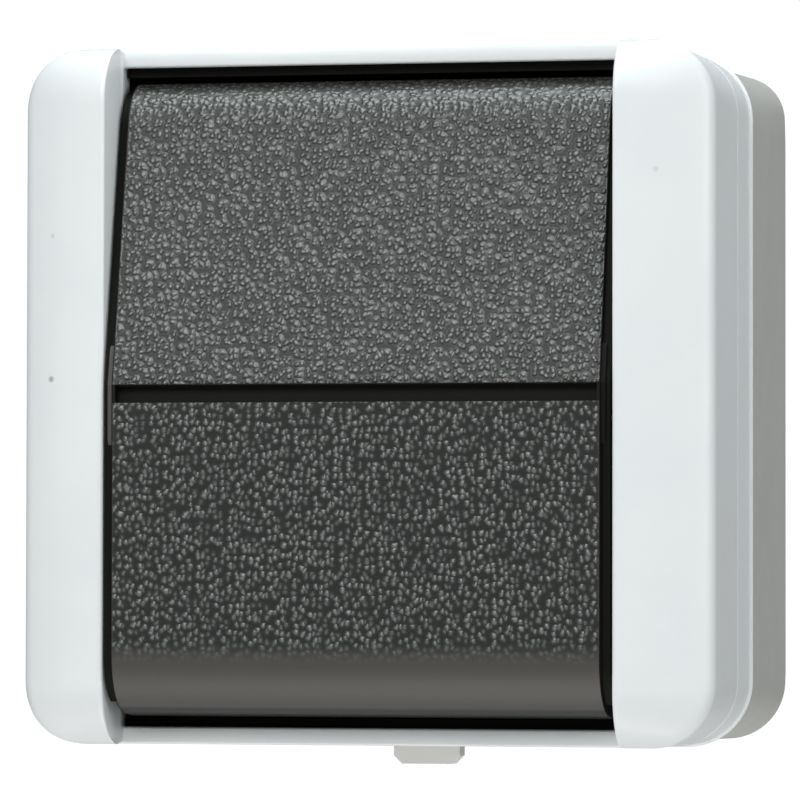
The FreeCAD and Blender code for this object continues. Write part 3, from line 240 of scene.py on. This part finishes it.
def makeMouldedSkin():
    values = skinValues
    group, enter, leave = newGroup(
        "mouldedSkin",
        {"Place": vectorSocket, "Fine": numberSocket, "Cloud": numberSocket},
        {"Height": numberSocket, "Cloud": numberSocket})
    grain = noiseNode(group, enter["Place"], enter["Fine"], values["grainDetail"])
    cloud = noiseNode(group, enter["Place"], enter["Cloud"], values["cloudDetail"])
    join(group, grain["Fac"], leave["Height"])
    join(group, rangeNode(group, cloud["Fac"], *values["cloudRange"]), leave["Cloud"])
    return group


pebbleValues = {
    "bendCells": 900.0,            # per metre
    "bendDetail": 1.0,
    "bendShift": 0.45 * mm,        # how far the bend moves a grain's outline
    "scatter": 0.85,
    "power": (0.4, 1.0),           # of the weakest and the strongest grain
    "height": (0.6, 0.02),         # each from the rim of a grain to its middle, in cell widths
    "peak": (0.42, 0.06),
    "valley": (0.4, 0.72),
}


def makePebbleGrain():
    values = pebbleValues
    group, enter, leave = newGroup(
        "pebbleGrain",
        {"Place": vectorSocket, "Size": numberSocket},
        {"Height": numberSocket, "Peak": numberSocket, "Valley": numberSocket})
    bend = noiseNode(group, enter["Place"], values["bendCells"], values["bendDetail"], noise_dimensions="2D")
    shift = vectorNode(group, "SCALE", bend["Color"], values["bendShift"])
    moved = vectorNode(group, "ADD", enter["Place"], shift)
    cells = addNode(group, "ShaderNodeTexVoronoi", feature="F1", voronoi_dimensions="2D")
    join(group, moved, cells.inputs["Vector"])
    join(group, enter["Size"], cells.inputs["Scale"])
    cells.inputs["Randomness"].default_value = values["scatter"]
    chance = addNode(group, "ShaderNodeSeparateColor")
    join(group, cells.outputs["Color"], chance.inputs[0])
    power = rangeNode(group, chance.outputs["Red"], 0.0, 1.0, *values["power"])
    away = cells.outputs["Distance"]
    height = mathNode(group, "MULTIPLY", rangeNode(group, away, *values["height"]), power)
    join(group, height, leave["Height"])
    peak = mathNode(group, "MULTIPLY", rangeNode(group, away, *values["peak"]), power)
    join(group, peak, leave["Peak"])
    join(group, rangeNode(group, away, *values["valley"]), leave["Valley"])
    return group


mouldedSkin = makeMouldedSkin()
pebbleGrain = makePebbleGrain()


# Materials

housingValues = {
    "lugTop": -32.9 * mm,
    "lugFade": 0.2 * mm,
    "roughness": (0.35, 0.42),     # varies in soft clouds
    "bumpHeight": 0.02 * mm,
    "bumpStrength": 0.4,
    "fine": 2500.0,
    "cloud": 70.0,
    "speckColour": linear(90, 92, 92),
    "speckCore": 0.3,              # share of its radius that has the full colour
    "specks": [                    # x, z and radius in mm, and how dark
        (-29.8, 1.5, 0.4, 0.6),
        (-29.7, 15.0, 0.35, 0.2),
        (28.0, 20.5, 0.35, 0.2),
    ],
}


def housingPlastic(name, colour, cloudColour, lugColour=None):
    values = housingValues
    material, tree, shader = newMaterial(name)
    place = objectPlace(tree)
    skin = useGroup(tree, mouldedSkin, Place=place, Fine=values["fine"], Cloud=values["cloud"])
    base = mixColour(tree, skin["Cloud"], colour, cloudColour)
    parts = splitPlace(tree, place)
    if lugColour:
        onLug = rangeNode(tree, parts["Z"], values["lugTop"], values["lugTop"] - values["lugFade"])
        base = mixColour(tree, onLug, base, lugColour)
    else:
        flat = joinPlace(tree, X=parts["X"], Z=parts["Z"])
        for x, z, radius, depth in values["specks"]:
            away = vectorNode(tree, "DISTANCE", flat, (x * mm, 0, z * mm))
            mark = rangeNode(tree, away, radius * mm, radius * mm * values["speckCore"], 0.0, depth)
            base = mixColour(tree, mark, base, values["speckColour"])
    join(tree, base, shader.inputs["Base Color"])
    join(tree, rangeNode(tree, skin["Cloud"], 0, 1, *values["roughness"]), shader.inputs["Roughness"])
    addBump(tree, shader, skin["Height"], values["bumpHeight"], values["bumpStrength"])
    return material


rockerValues = {
    "colour": linear(46, 50, 47),
    # the tops of the grains are painted lighter as glints, and the hollows between them darker as shade
    "paintedGlintColour": linear(112, 115, 113),
    "valleyShadeColour": linear(14, 17, 13),
    "smoothColour": linear(66, 64, 61),
    # painted shade: on the sides of the rocker, at its round ends and along its right edge
    "paintedShadeColour": linear(13, 14, 11),
    # painted highlight on the left pad
    "padHighlightColour": linear(84, 80, 76),
    # painted shade: the groove and the round above it are coloured nearly black
    "grooveShadeColour": linear(24, 26, 20),
    "roughness": 0.27,
    "sideRoughness": 0.6,
    "valleyRoughness": 0.25,       # added in the valleys, and on the smooth foot
    "gloss": (0.5, 0.12),          # of the faces, and of the sides and the groove
    "grainHeight": 0.085 * mm,
    "grainCells": 1600.0,          # per metre
    "axisOut": 42.42 * mm,
    "restTilt": -6.25,             # degrees
    "halfWide": 23.16 * mm,
    "rollStart": 24.64 * mm,       # middle of the round ends
    "rollRadius": 5.4 * mm,
    "upperFade": 5.6 * mm,         # how far the grain goes on over the upper end
    "upperGrain": 0.5,             # share of the grain that is left there
    "lowerFade": (-1.2 * mm, 1.4 * mm),
    "lowerGrain": 0.0,
    "grooveLow": 0.88 * mm,        # the middle of the groove lies below the axis
    "grooveHalf": 0.84 * mm,
    "grooveFade": (0.1 * mm, 0.05 * mm),   # outside and inside its edges
    "lipShade": 0.8 * mm,          # dark round of the upper edge of the groove
    "lipDepth": 0.85,
    "topShade": (4.95 * mm, 5.3 * mm),     # where the upper end turns dark
    "footShade": (4.9 * mm, 5.2 * mm),
    "edgeShade": (0.55 * mm, 0.15 * mm),   # dark right edge of the upper face
    "edgeRise": (-2 * mm, 4 * mm),
    "faceFade": (0.06 * mm, 0.24 * mm),    # the grain fades in from the side edges
    "sideFade": (0.14 * mm, 0.04 * mm),
    "padFade": (0.04 * mm, 0.1 * mm),
}


def rockerPlace(tree):
    lifted = vectorNode(tree, "ADD", objectPlace(tree), (0, rockerValues["axisOut"], 0))
    turned = addNode(tree, "ShaderNodeVectorRotate", rotation_type="X_AXIS")
    join(tree, lifted, turned.inputs["Vector"])
    turned.inputs["Angle"].default_value = -math.radians(rockerValues["restTilt"])
    parts = splitPlace(tree, turned.outputs[0])
    return parts["X"], parts["Z"]


# The grain is laid flat: over the round ends it follows the arc
def unrolled(tree, x, up):
    start, radius = rockerValues["rollStart"], rockerValues["rollRadius"]
    height = mathNode(tree, "ABSOLUTE", up)
    past = mathNode(tree, "DIVIDE", mathNode(tree, "SUBTRACT", height, start), radius, clamp=True)
    arc = mathNode(tree, "MULTIPLY", mathNode(tree, "ARCSINE", past), radius)
    along = mathNode(tree, "ADD", mathNode(tree, "MINIMUM", height, start), arc)
    return joinPlace(tree, X=x, Y=mathNode(tree, "MULTIPLY", along, mathNode(tree, "SIGN", up)))


# The masks are 1 on the groove, the sides and the left pad, which gets a painted highlight, and where the
# grain is at its full height
def rockerMasks(tree, x, up, down):
    values = rockerValues
    across = mathNode(tree, "ABSOLUTE", x)
    half, start = values["halfWide"], values["rollStart"]
    faceOut, faceIn = values["faceFade"]
    onFace = rangeNode(tree, across, half - faceOut, half - faceIn)
    beforeTop = rangeNode(tree, up, start + values["upperFade"], start, values["upperGrain"], 1.0)
    fadeStart, fadeEnd = values["lowerFade"]
    beforeFoot = rangeNode(tree, down, start + fadeEnd, start + fadeStart, values["lowerGrain"], 1.0)
    fromGroove = mathNode(tree, "ABSOLUTE", mathNode(tree, "ADD", up, values["grooveLow"]))
    grooveOut, grooveIn = values["grooveFade"]
    inGroove = rangeNode(tree, fromGroove, values["grooveHalf"] + grooveOut, values["grooveHalf"] - grooveIn)
    outside = mathNode(tree, "SUBTRACT", 1.0, inGroove)
    grained = mathNode(tree, "MULTIPLY", mathNode(tree, "MULTIPLY", onFace, outside),
                       mathNode(tree, "MULTIPLY", beforeTop, beforeFoot))
    sideIn, sideOut = values["sideFade"]
    onSide = rangeNode(tree, across, half - sideIn, half - sideOut)
    padIn, padOut = values["padFade"]
    onHighlightedPad = rangeNode(tree, x, -half - padIn, -half - padOut)
    return grained, beforeFoot, inGroove, onSide, onHighlightedPad


# Painted shade: on the groove, on the round above it, over both round ends and along the right edge
def rockerShades(tree, base, inGroove, x, up, down):
    values = rockerValues
    half, start = values["halfWide"], values["rollStart"]
    brow = -values["grooveLow"] + values["grooveHalf"]
    shade = rangeNode(tree, up, brow + values["lipShade"], brow, 0.0, values["lipDepth"])
    shade = mathNode(tree, "MULTIPLY", shade, mathNode(tree, "GREATER_THAN", up, -values["grooveLow"]))
    base = mixColour(tree, shade, base, values["grooveShadeColour"])
    base = mixColour(tree, inGroove, base, values["grooveShadeColour"])
    for place, (low, high) in ((up, values["topShade"]), (down, values["footShade"])):
        base = mixColour(tree, rangeNode(tree, place, start + low, start + high), base, values["paintedShadeColour"])
    edgeIn, edgeOut = values["edgeShade"]
    edge = mathNode(tree, "MULTIPLY", rangeNode(tree, x, half - edgeIn, half - edgeOut),
                    rangeNode(tree, up, *values["edgeRise"]))
    return mixColour(tree, edge, base, values["paintedShadeColour"])


def rockerPlastic():
    values = rockerValues
    material, tree, shader = newMaterial("rockerPlastic")
    x, up = rockerPlace(tree)
    down = mathNode(tree, "MULTIPLY", up, -1.0)
    grained, beforeFoot, inGroove, onSide, onHighlightedPad = rockerMasks(tree, x, up, down)
    grain = useGroup(tree, pebbleGrain, Place=unrolled(tree, x, up), Size=values["grainCells"])
    peak = mathNode(tree, "MULTIPLY", grain["Peak"], grained)
    valley = mathNode(tree, "MULTIPLY", grain["Valley"], grained)
    base = mixColour(tree, grained, values["smoothColour"], values["colour"])
    # painted shade in the hollows of the grain, and painted glints on its tops
    base = mixColour(tree, valley, base, values["valleyShadeColour"])
    base = mixColour(tree, peak, base, values["paintedGlintColour"])
    base = rockerShades(tree, base, inGroove, x, up, down)
    # the sides of the rocker are painted nearly black as shade
    base = mixColour(tree, onSide, base, values["paintedShadeColour"])
    # the left pad is painted lighter as a highlight
    base = mixColour(tree, onHighlightedPad, base, values["padHighlightColour"])
    join(tree, base, shader.inputs["Base Color"])
    plain = mathNode(tree, "MAXIMUM", onSide, inGroove)
    rough = rangeNode(tree, plain, 0, 1, values["roughness"], values["sideRoughness"])
    rough = mathNode(tree, "ADD", rough, mathNode(tree, "MULTIPLY", valley, values["valleyRoughness"]))
    onFoot = rangeNode(tree, beforeFoot, 1.0, 0.0, 0.0, values["valleyRoughness"])
    rough = mathNode(tree, "ADD", rough, onFoot)
    join(tree, rough, shader.inputs["Roughness"])
    join(tree, rangeNode(tree, plain, 0, 1, *values["gloss"]), shader.inputs["Specular IOR Level"])
    addBump(tree, shader, mathNode(tree, "MULTIPLY", grain["Height"], grained), values["grainHeight"])
    return material


plainValues = {
    "fine": 1800.0,
    "cloud": 120.0,
    "cloudShade": 0.8,
    "bumpHeight": 0.03 * mm,
}


def cloudedColour(tree, colour, shade, fine, cloud):
    skin = useGroup(tree, mouldedSkin, Place=objectPlace(tree), Fine=fine, Cloud=cloud)
    darker = tuple(part * shade for part in colour)
    return skin, mixColour(tree, skin["Cloud"], colour, darker)


def plainPlastic(name, colour, roughness, gloss=0.5):
    values = plainValues
    material, tree, shader = newMaterial(name)
    skin, base = cloudedColour(tree, colour, values["cloudShade"], values["fine"], values["cloud"])
    join(tree, base, shader.inputs["Base Color"])
    shader.inputs["Roughness"].default_value = roughness
    shader.inputs["Specular IOR Level"].default_value = gloss
    addBump(tree, shader, skin["Height"], values["bumpHeight"])
    return material


metalValues = {
    "fine": 3000.0,
    "cloud": 300.0,
    "cloudShade": 0.75,
    "smoother": 0.08,              # the roughness varies around its value
    "rougher": 0.12,
}


def metal(name, colour, roughness):
    values = metalValues
    material, tree, shader = newMaterial(name)
    skin, base = cloudedColour(tree, colour, values["cloudShade"], values["fine"], values["cloud"])
    join(tree, base, shader.inputs["Base Color"])
    shader.inputs["Metallic"].default_value = 1.0
    low, high = roughness - values["smoother"], roughness + values["rougher"]
    join(tree, rangeNode(tree, skin["Height"], 0, 1, low, high), shader.inputs["Roughness"])
    return material


finishes = {
    "housing": housingPlastic("housingPlastic", linear(226, 230, 231), linear(221, 226, 228)),
    "box": housingPlastic("boxPlastic", linear(190, 192, 187), linear(182, 184, 180), linear(236, 237, 234)),
    "rocker": rockerPlastic(),
    "frame": plainPlastic("framePlastic", linear(13, 15, 10), 0.65, 0.12),
    "seal": plainPlastic("sealRubber", linear(50, 50, 50), 0.7),
    "insulator": plainPlastic("insulatorPlastic", linear(92, 90, 86), 0.5),
    "tumbler": plainPlastic("tumblerPlastic", linear(222, 218, 204), 0.4),
    "steel": metal("zincSteel", (0.62, 0.62, 0.60), 0.35),
    "brass": metal("brassMetal", (0.72, 0.55, 0.28), 0.32),
    "contact": metal("contactMetal", (0.85, 0.84, 0.81), 0.22),
}

slots = {part["node"]: part["material_slot"] for part in frame["record"]["subparts"]}
for name, piece in frame["nodes"].items():
    piece.data.materials.clear()
    piece.data.materials.append(finishes[slots[name]])
print("materials given")


# Mesh helpers

def allOf(bm):
    return bm.verts[:] + bm.edges[:] + bm.faces[:]


def vertsOf(geometry):
    return [item for item in geometry if isinstance(item, bmesh.types.BMVert)]


def weldedCopy(node):
    bm = bmesh.new()
    bm.from_mesh(frame["nodes"][node].data)
    bmesh.ops.remove_doubles(bm, verts=bm.verts, dist=weldDistance)
    return bm


# How far a place lies outside an upright round-cornered rectangle; inside it is negative
def outsideOf(place, halfWide, halfTall, corner):
    across = abs(place.x) - halfWide + corner
    up = abs(place.z) - halfTall + corner
    return math.hypot(max(across, 0.0), max(up, 0.0)) + min(max(across, up), 0.0) - corner


def sharpAngles(bm, degrees):
    for face in bm.faces:
        face.smooth = True
    for edge in bm.edges:
        edge.smooth = len(edge.link_faces) == 2 and edge.calc_face_angle(0.0) < math.radians(degrees)


# Some operators put out another order on each run, so each mesh is sorted by place before it is written
def sortMesh(bm):
    for items in (bm.verts, bm.edges, bm.faces):
        ordered = sorted(items, key=lambda item: sorted(end.co[:] for end in getattr(item, "verts", [item])))
        rank = {item: place for place, item in enumerate(ordered)}
        items.sort(key=rank.get)


def newPiece(name, bm, material, body):
    sortMesh(bm)
    mesh = bpy.data.meshes.new(name)
    bm.to_mesh(mesh)
    bm.free()
    piece = bpy.data.objects.new(name, mesh)
    bpy.context.scene.collection.objects.link(piece)
    mesh.materials.append(material)
    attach(piece, body)
    return piece


# Rocker: its long edges are eased by a fine round

rockerEdge = {"wide": 0.28 * mm, "angle": 40, "steps": 3}


def easeRocker():
    easing = frame["nodes"]["rocker"].modifiers.new("edges", "BEVEL")
    easing.width = rockerEdge["wide"]
    easing.segments = rockerEdge["steps"]
    easing.limit_method = "ANGLE"
    easing.angle_limit = math.radians(rockerEdge["angle"])
    easing.use_clamp_overlap = False
    easing.harden_normals = True


easeRocker()
print("rocker edges eased")


# Cover: its wings get crowned fronts with soft corners, its bars fine round edges and its rim a lip

coverValues = {
    "wallX": 33.0 * mm,            # outer wall of a wing
    "innerX": 24.15 * mm,
    "topZ": 32.85 * mm,
    "corner": 6.0 * mm,
    "crownDrop": 4.4 * mm,
    "crownRadius": 25.0 * mm,
    "roll": 5.5 * mm,              # height of the round ends of a wing
    "outerEdge": 0.9 * mm,
    "innerEdge": 0.4 * mm,
    "capDeep": 6.0 * mm,           # how far back the new front of a wing goes
    "capSpare": 0.05 * mm,         # that it stays in front of its own rear edge
    "endLift": 0.3 * mm,
    "rimSlope": 1.3 * mm,          # how far the front edge of the rim leans back
    "rimFront": -31.3 * mm,
    "rimReach": 0.3 * mm,          # vertices this near to the rim's front belong to it
    "rimProud": 0.25 * mm,
    "lipOut": 0.24 * mm,           # how far the rear lip of the rim stands out
    "lipStart": (-25.1 * mm, -24.95 * mm),
    "columns": 30,
    "endRows": 30,
    "middleRows": (-0.5, 0.0, 0.5),    # between the round ends
    "fineEdge": 0.22 * mm,
    "fineSteps": 3,
    "fineAngle": 35,               # degrees; sharper edges of the bars get the fine round
    "barFront": -31.7 * mm,        # the edges of the bars lie in front of this
    "barLow": 31.0 * mm,           # and above or below this
    "flatAngle": 0.5,              # degrees; flatter seams are dissolved
}
sliver = 0.01 * mm


def crownDepth(x):
    values = coverValues
    run = values["wallX"] - values["innerX"]
    chord = math.hypot(run, values["crownDrop"])
    rise = math.sqrt(values["crownRadius"] ** 2 - (chord / 2) ** 2)
    centreX = values["innerX"] + run / 2 - rise * values["crownDrop"] / chord
    centreDepth = values["crownDrop"] / 2 + rise * run / chord
    return centreDepth - math.sqrt(values["crownRadius"] ** 2 - (x - centreX) ** 2)


def edgeDrop(distance, radius):
    if distance >= radius:
        return 0.0
    return radius - math.sqrt(max(radius ** 2 - (radius - distance) ** 2, 0.0))


def wingDepth(x, z):
    values = coverValues
    past = z - (values["topZ"] - values["roll"])
    rolled = edgeDrop(values["roll"] - past, values["roll"]) if past > 0 else 0.0
    crown = crownDepth(x)
    depth = crown + rolled * (values["capDeep"] - values["endLift"] - crown) / values["roll"]
    cornerX = values["wallX"] - values["corner"]
    cornerZ = values["topZ"] - values["corner"]
    if z <= cornerZ:
        outer = values["wallX"] - x
    else:
        outer = values["corner"] - math.hypot(max(x - cornerX, 0.0), z - cornerZ)
    share = 1 - rolled / values["roll"]
    inner = x - values["innerX"]
    depth += share * (edgeDrop(outer, values["outerEdge"]) + edgeDrop(inner, values["innerEdge"]))
    return min(depth, values["capDeep"] - values["capSpare"])


def wingCap(bm, side):
    values = coverValues
    corner = values["corner"]
    cornerX = values["wallX"] - corner
    cornerZ = values["topZ"] - corner
    levels = [cornerZ + corner * math.sin(math.pi / 2 * step / values["endRows"])
              for step in range(values["endRows"] + 1)]
    levels = ([-level for level in reversed(levels)] + [cornerZ * share for share in values["middleRows"]]
              + levels)
    rows = len(levels) - 1
    sheet = bmesh.ops.create_grid(bm, x_segments=values["columns"], y_segments=rows, size=0.5)["verts"]
    rim = dict.fromkeys(edge for vertex in sheet for edge in vertex.link_edges if edge.is_boundary)
    foot = vertsOf(bmesh.ops.extrude_edge_only(bm, edges=list(rim))["geom"])
    footSet = set(foot)
    for vertex in sheet + foot:
        level = levels[round((vertex.co.y + 0.5) * rows)]
        past = abs(level) - cornerZ
        reach = values["wallX"] if past <= 0 else cornerX + math.sqrt(max(corner ** 2 - past ** 2, 0.0))
        share = 0.5 - 0.5 * math.cos(math.pi * (vertex.co.x + 0.5))
        x = values["innerX"] + (reach - values["innerX"]) * share
        depth = values["capDeep"] if vertex in footSet else wingDepth(x, abs(level))
        vertex.co = (side * x, cadWingFront + depth, level)


def outsideCover(place):
    return outsideOf(place, coverValues["wallX"], coverValues["wallX"], coverValues["corner"])


def cutAcross(bm, y, **settings):
    bmesh.ops.bisect_plane(bm, geom=allOf(bm), plane_co=(0, y, 0), plane_no=(0, -1, 0), **settings)


def rimLip(bm):
    values = coverValues
    low = values["wallX"] - values["corner"]
    for cutY in values["lipStart"]:
        cutAcross(bm, cutY)
    for vertex in bm.verts:
        behind = vertex.co.y > values["lipStart"][0] + sliver
        if behind or outsideCover(vertex.co) < values["rimProud"]:
            continue
        across, up = max(abs(vertex.co.x) - low, 0.0), max(abs(vertex.co.z) - low, 0.0)
        inward = Vector((across, up)).normalized() * values["lipOut"]
        vertex.co.x -= math.copysign(inward.x, vertex.co.x)
        vertex.co.z -= math.copysign(inward.y, vertex.co.z)


def isBarEdge(edge):
    values = coverValues
    return (len(edge.link_faces) == 2 and edge.calc_face_angle(0.0) > math.radians(values["fineAngle"])
            and max(vertex.co.y for vertex in edge.verts) < values["barFront"]
            and min(abs(vertex.co.z) for vertex in edge.verts) > values["barLow"]
            and max(abs(vertex.co.x) for vertex in edge.verts) < values["innerX"] + sliver)


def softCover():
    values = coverValues
    bm = weldedCopy("cover")
    rimFront, reach = values["rimFront"], values["rimReach"]
    for vertex in bm.verts:
        onRim = rimFront - reach < vertex.co.y < rimFront + reach
        if onRim and outsideCover(vertex.co) > values["rimProud"]:
            vertex.co.y += values["rimSlope"]
    cutAcross(bm, cadWingFront + values["capDeep"], clear_outer=True)
    bmesh.ops.dissolve_limit(bm, angle_limit=math.radians(values["flatAngle"]), verts=bm.verts,
                             edges=bm.edges)
    barEdges = [edge for edge in bm.edges if isBarEdge(edge)]
    bmesh.ops.bevel(bm, geom=barEdges, offset=values["fineEdge"], affect="EDGES",
                    segments=values["fineSteps"], profile=0.5, material=-1, clamp_overlap=True)
    rimLip(bm)
    for side in (-1, 1):
        wingCap(bm, side)
    bmesh.ops.remove_doubles(bm, verts=bm.verts, dist=weldDistance)
    bmesh.ops.recalc_face_normals(bm, faces=bm.faces)
    sharpAngles(bm, smoothBelow)
    cover = newPiece("softCover", bm, finishes["housing"], "housing")
    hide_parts("cover")


softCover()
print("cover made")


# Rear box: towards the wall its corners get tighter

boxValues = {
    "halfWide": 32.85 * mm,
    "halfTall": 32.9 * mm,
    "corner": 6.5 * mm,
    "newHalfWide": 33.0 * mm,      # at the wall; towards the front the box keeps its size
    "newHalfTall": 33.2 * mm,
    "newCorner": {-1: 5.8 * mm, 1: 4.4 * mm},  # below and above
    "deep": 23.8 * mm,
    "skin": 0.7 * mm,              # how deep the outer walls are followed
    "slack": 0.02 * mm,
    "searchReach": 20 * mm,        # the new corner is found by halving this
    "searchSteps": 30,
}


def boxReach(angle, corner):
    values = boxValues
    ahead = (math.cos(angle), math.sin(angle))
    low = values["halfWide"] - values["corner"], values["halfTall"] - values["corner"]
    near, far = 0.0, values["searchReach"]
    for step in range(values["searchSteps"]):
        middle = (near + far) / 2
        place = Vector((low[0] + ahead[0] * middle, 0, low[1] + ahead[1] * middle))
        if outsideOf(place, values["newHalfWide"], values["newHalfTall"], corner) < 0:
            near = middle
        else:
            far = middle
    return near


def fullBox():
    values = boxValues
    bm = weldedCopy("rear_box")
    lowX, lowZ = values["halfWide"] - values["corner"], values["halfTall"] - values["corner"]
    for vertex in bm.verts:
        out = outsideOf(vertex.co, values["halfWide"], values["halfTall"], values["corner"])
        if not -values["skin"] < out < values["slack"]:
            continue
        across, up = abs(vertex.co.x) - lowX, abs(vertex.co.z) - lowZ
        moved = Vector((across, up))
        if across > 0 and up > 0:
            angle = math.atan2(up, across)
            share = math.hypot(across, up) / values["corner"]
            reach = boxReach(angle, values["newCorner"][1 if vertex.co.z > 0 else -1]) * share
            moved = Vector((math.cos(angle), math.sin(angle))) * reach
        elif across > up:
            moved.x += values["newHalfWide"] - values["halfWide"]
        else:
            moved.y += values["newHalfTall"] - values["halfTall"]
        nearWall = min(max(1 + vertex.co.y / values["deep"], 0.0), 1.0)
        moved = Vector((across, up)).lerp(moved, nearWall)
        vertex.co.x = math.copysign(lowX + moved.x, vertex.co.x)
        vertex.co.z = math.copysign(lowZ + moved.y, vertex.co.z)
    bmesh.ops.recalc_face_normals(bm, faces=bm.faces)
    sharpAngles(bm, smoothBelow)
    box = newPiece("fullBox", bm, finishes["box"], "housing")
    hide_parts("rear_box")


fullBox()
print("rear box made")


# Rocker shadow strip: a thin black piece that stands out along both sides of the grained face, put where the
# gaps beside the rocker lie in shade

lipValues = {
    "inside": 22.9 * mm,
    "outside": 23.98 * mm,
    "below": 0.55 * mm,            # under the grained face
    "thick": 0.7 * mm,
    "endTurn": 62,                 # degrees that it follows each round end
    "steps": 12,
}


def rockerShadowStrip():
    values = lipValues
    half = -math.radians(rockerValues["restTilt"])
    radius = rockerValues["rollRadius"] - values["below"]
    reach = rockerValues["rollStart"]
    bm = bmesh.new()
    peak = bm.verts.new((0, -(radius + reach * math.sin(half)) / math.cos(half), 0))
    for side in (-1, 1):
        shoulder = bm.verts.new((0, -radius * math.cos(half), side * (reach + radius * math.sin(half))))
        bm.edges.new((peak, shoulder))
        bmesh.ops.spin(bm, geom=[shoulder], cent=(0, 0, side * reach), axis=(1, 0, 0),
                       angle=-side * math.radians(values["endTurn"]), steps=values["steps"])
    bmesh.ops.remove_doubles(bm, verts=bm.verts, dist=weldDistance)
    made = bmesh.ops.extrude_edge_only(bm, edges=bm.edges[:])["geom"]
    bmesh.ops.translate(bm, verts=vertsOf(made), vec=(values["outside"] - values["inside"], 0, 0))
    bmesh.ops.recalc_face_normals(bm, faces=bm.faces)
    bmesh.ops.solidify(bm, geom=bm.faces[:], thickness=values["thick"])
    bmesh.ops.translate(bm, verts=bm.verts, vec=(values["inside"], 0, 0))
    copy = bmesh.ops.duplicate(bm, geom=allOf(bm))["geom"]
    bmesh.ops.scale(bm, verts=vertsOf(copy), vec=(-1, 1, 1))
    turn = Matrix.Rotation(math.radians(rockerValues["restTilt"]), 3, "X")
    bmesh.ops.rotate(bm, verts=bm.verts, cent=(0, 0, 0), matrix=turn)
    bmesh.ops.translate(bm, verts=bm.verts, vec=(0, -rockerValues["axisOut"], 0))
    bmesh.ops.recalc_face_normals(bm, faces=bm.faces)
    lip = newPiece("rockerShadowStrip", bm, finishes["frame"], "rocker")


rockerShadowStrip()
print("rocker lip made")


# Floor, background and lights

white = (1.0, 1.0, 1.0)
coolWhite = (0.93, 0.98, 1.0)
warmWhite = (1.0, 0.97, 0.93)

studioValues = {
    "floorDrop": 0.80,             # below the switch, which hangs on a wall
    "floorGlow": 0.20,             # keeps the floor pale beyond the reach of the lights
    "floorSize": 6.0,
    "floorColours": ((0.9, 0.9, 0.9), (0.86, 0.86, 0.86)),
    "floorClouds": 4.0,            # per metre
    "floorRoughness": 0.8,
    "roomLight": 0.075,
    "paperLight": 1.05,            # the white behind the switch, as the camera sees it
    "above": (0.94, 0.98, 1.0),
    "below": warmWhite,
    "horizon": (-0.5, 0.5),
}

lights = {                         # place, width and height, watts, colour
    "keyLight": ((0.6, -0.62, 0.45), (0.3, 0.3), 0.7, white),
    "sideLight": ((0.95, -0.2, 0.25), (0.5, 0.5), 3.8, white),
    "overLight": ((0.05, -0.14, 0.85), (0.6, 0.5), 7.4, coolWhite),
    "faceLight": ((-0.14, -0.72, 0.48), (0.35, 0.35), 3.4, white),
    "fillLight": ((-0.8, -0.55, 0.1), (0.6, 0.6), 1.8, white),
    "footLight": ((-0.05, -0.5, -0.6), (0.4, 0.2), 1.3, warmWhite),
    "underLight": ((0.0, -0.2, -0.7), (0.4, 0.2), 1.1, warmWhite),
}


def floorPaint():
    values = studioValues
    material, tree, shader = newMaterial("floorPaint")
    noise = addNode(tree, "ShaderNodeTexNoise")
    noise.inputs["Scale"].default_value = values["floorClouds"]
    join(tree, objectPlace(tree), noise.inputs["Vector"])
    base = mixColour(tree, noise.outputs["Fac"], *values["floorColours"])
    join(tree, base, shader.inputs["Base Color"])
    shader.inputs["Roughness"].default_value = values["floorRoughness"]
    shader.inputs["Emission Color"].default_value = (*white, 1)
    shader.inputs["Emission Strength"].default_value = values["floorGlow"]
    return material


def studioFloor():
    bm = bmesh.new()
    bmesh.ops.create_grid(bm, x_segments=1, y_segments=1, size=studioValues["floorSize"] / 2)
    low = cadBox[0].z - studioValues["floorDrop"]
    bmesh.ops.translate(bm, verts=bm.verts, vec=(0, 0, low))
    mesh = bpy.data.meshes.new("floor")
    bm.to_mesh(mesh)
    bm.free()
    floor = bpy.data.objects.new("floor", mesh)
    bpy.context.scene.collection.objects.link(floor)
    mesh.materials.append(floorPaint())


def softLight(name, place, size, power, colour):
    data = bpy.data.lights.new(name, "AREA")
    data.shape = "RECTANGLE"
    data.size, data.size_y = size
    data.energy = power
    data.color = colour
    light = bpy.data.objects.new(name, data)
    bpy.context.scene.collection.objects.link(light)
    light.rotation_mode = "QUATERNION"
    light.location = place
    light.rotation_quaternion = (-Vector(place)).to_track_quat("-Z", "Y")


def studioWorld():
    values = studioValues
    world = bpy.data.worlds.new("studio")
    bpy.context.scene.world = world
    world.use_nodes = True
    tree = world.node_tree
    background = tree.nodes["Background"]
    parts = splitPlace(tree, addNode(tree, "ShaderNodeTexCoord").outputs["Generated"])
    height = rangeNode(tree, parts["Z"], *values["horizon"])
    room = mixColour(tree, height, values["below"], values["above"])
    seen = addNode(tree, "ShaderNodeLightPath").outputs["Is Camera Ray"]
    join(tree, mixColour(tree, seen, room, white), background.inputs["Color"])
    level = rangeNode(tree, seen, 0, 1, values["roomLight"], values["paperLight"], smooth=False)
    join(tree, level, background.inputs["Strength"])
    bpy.context.scene.view_settings.view_transform = "Standard"


studioFloor()
for name, settings in lights.items():
    softLight(name, *settings)
studioWorld()
print("studio lit")
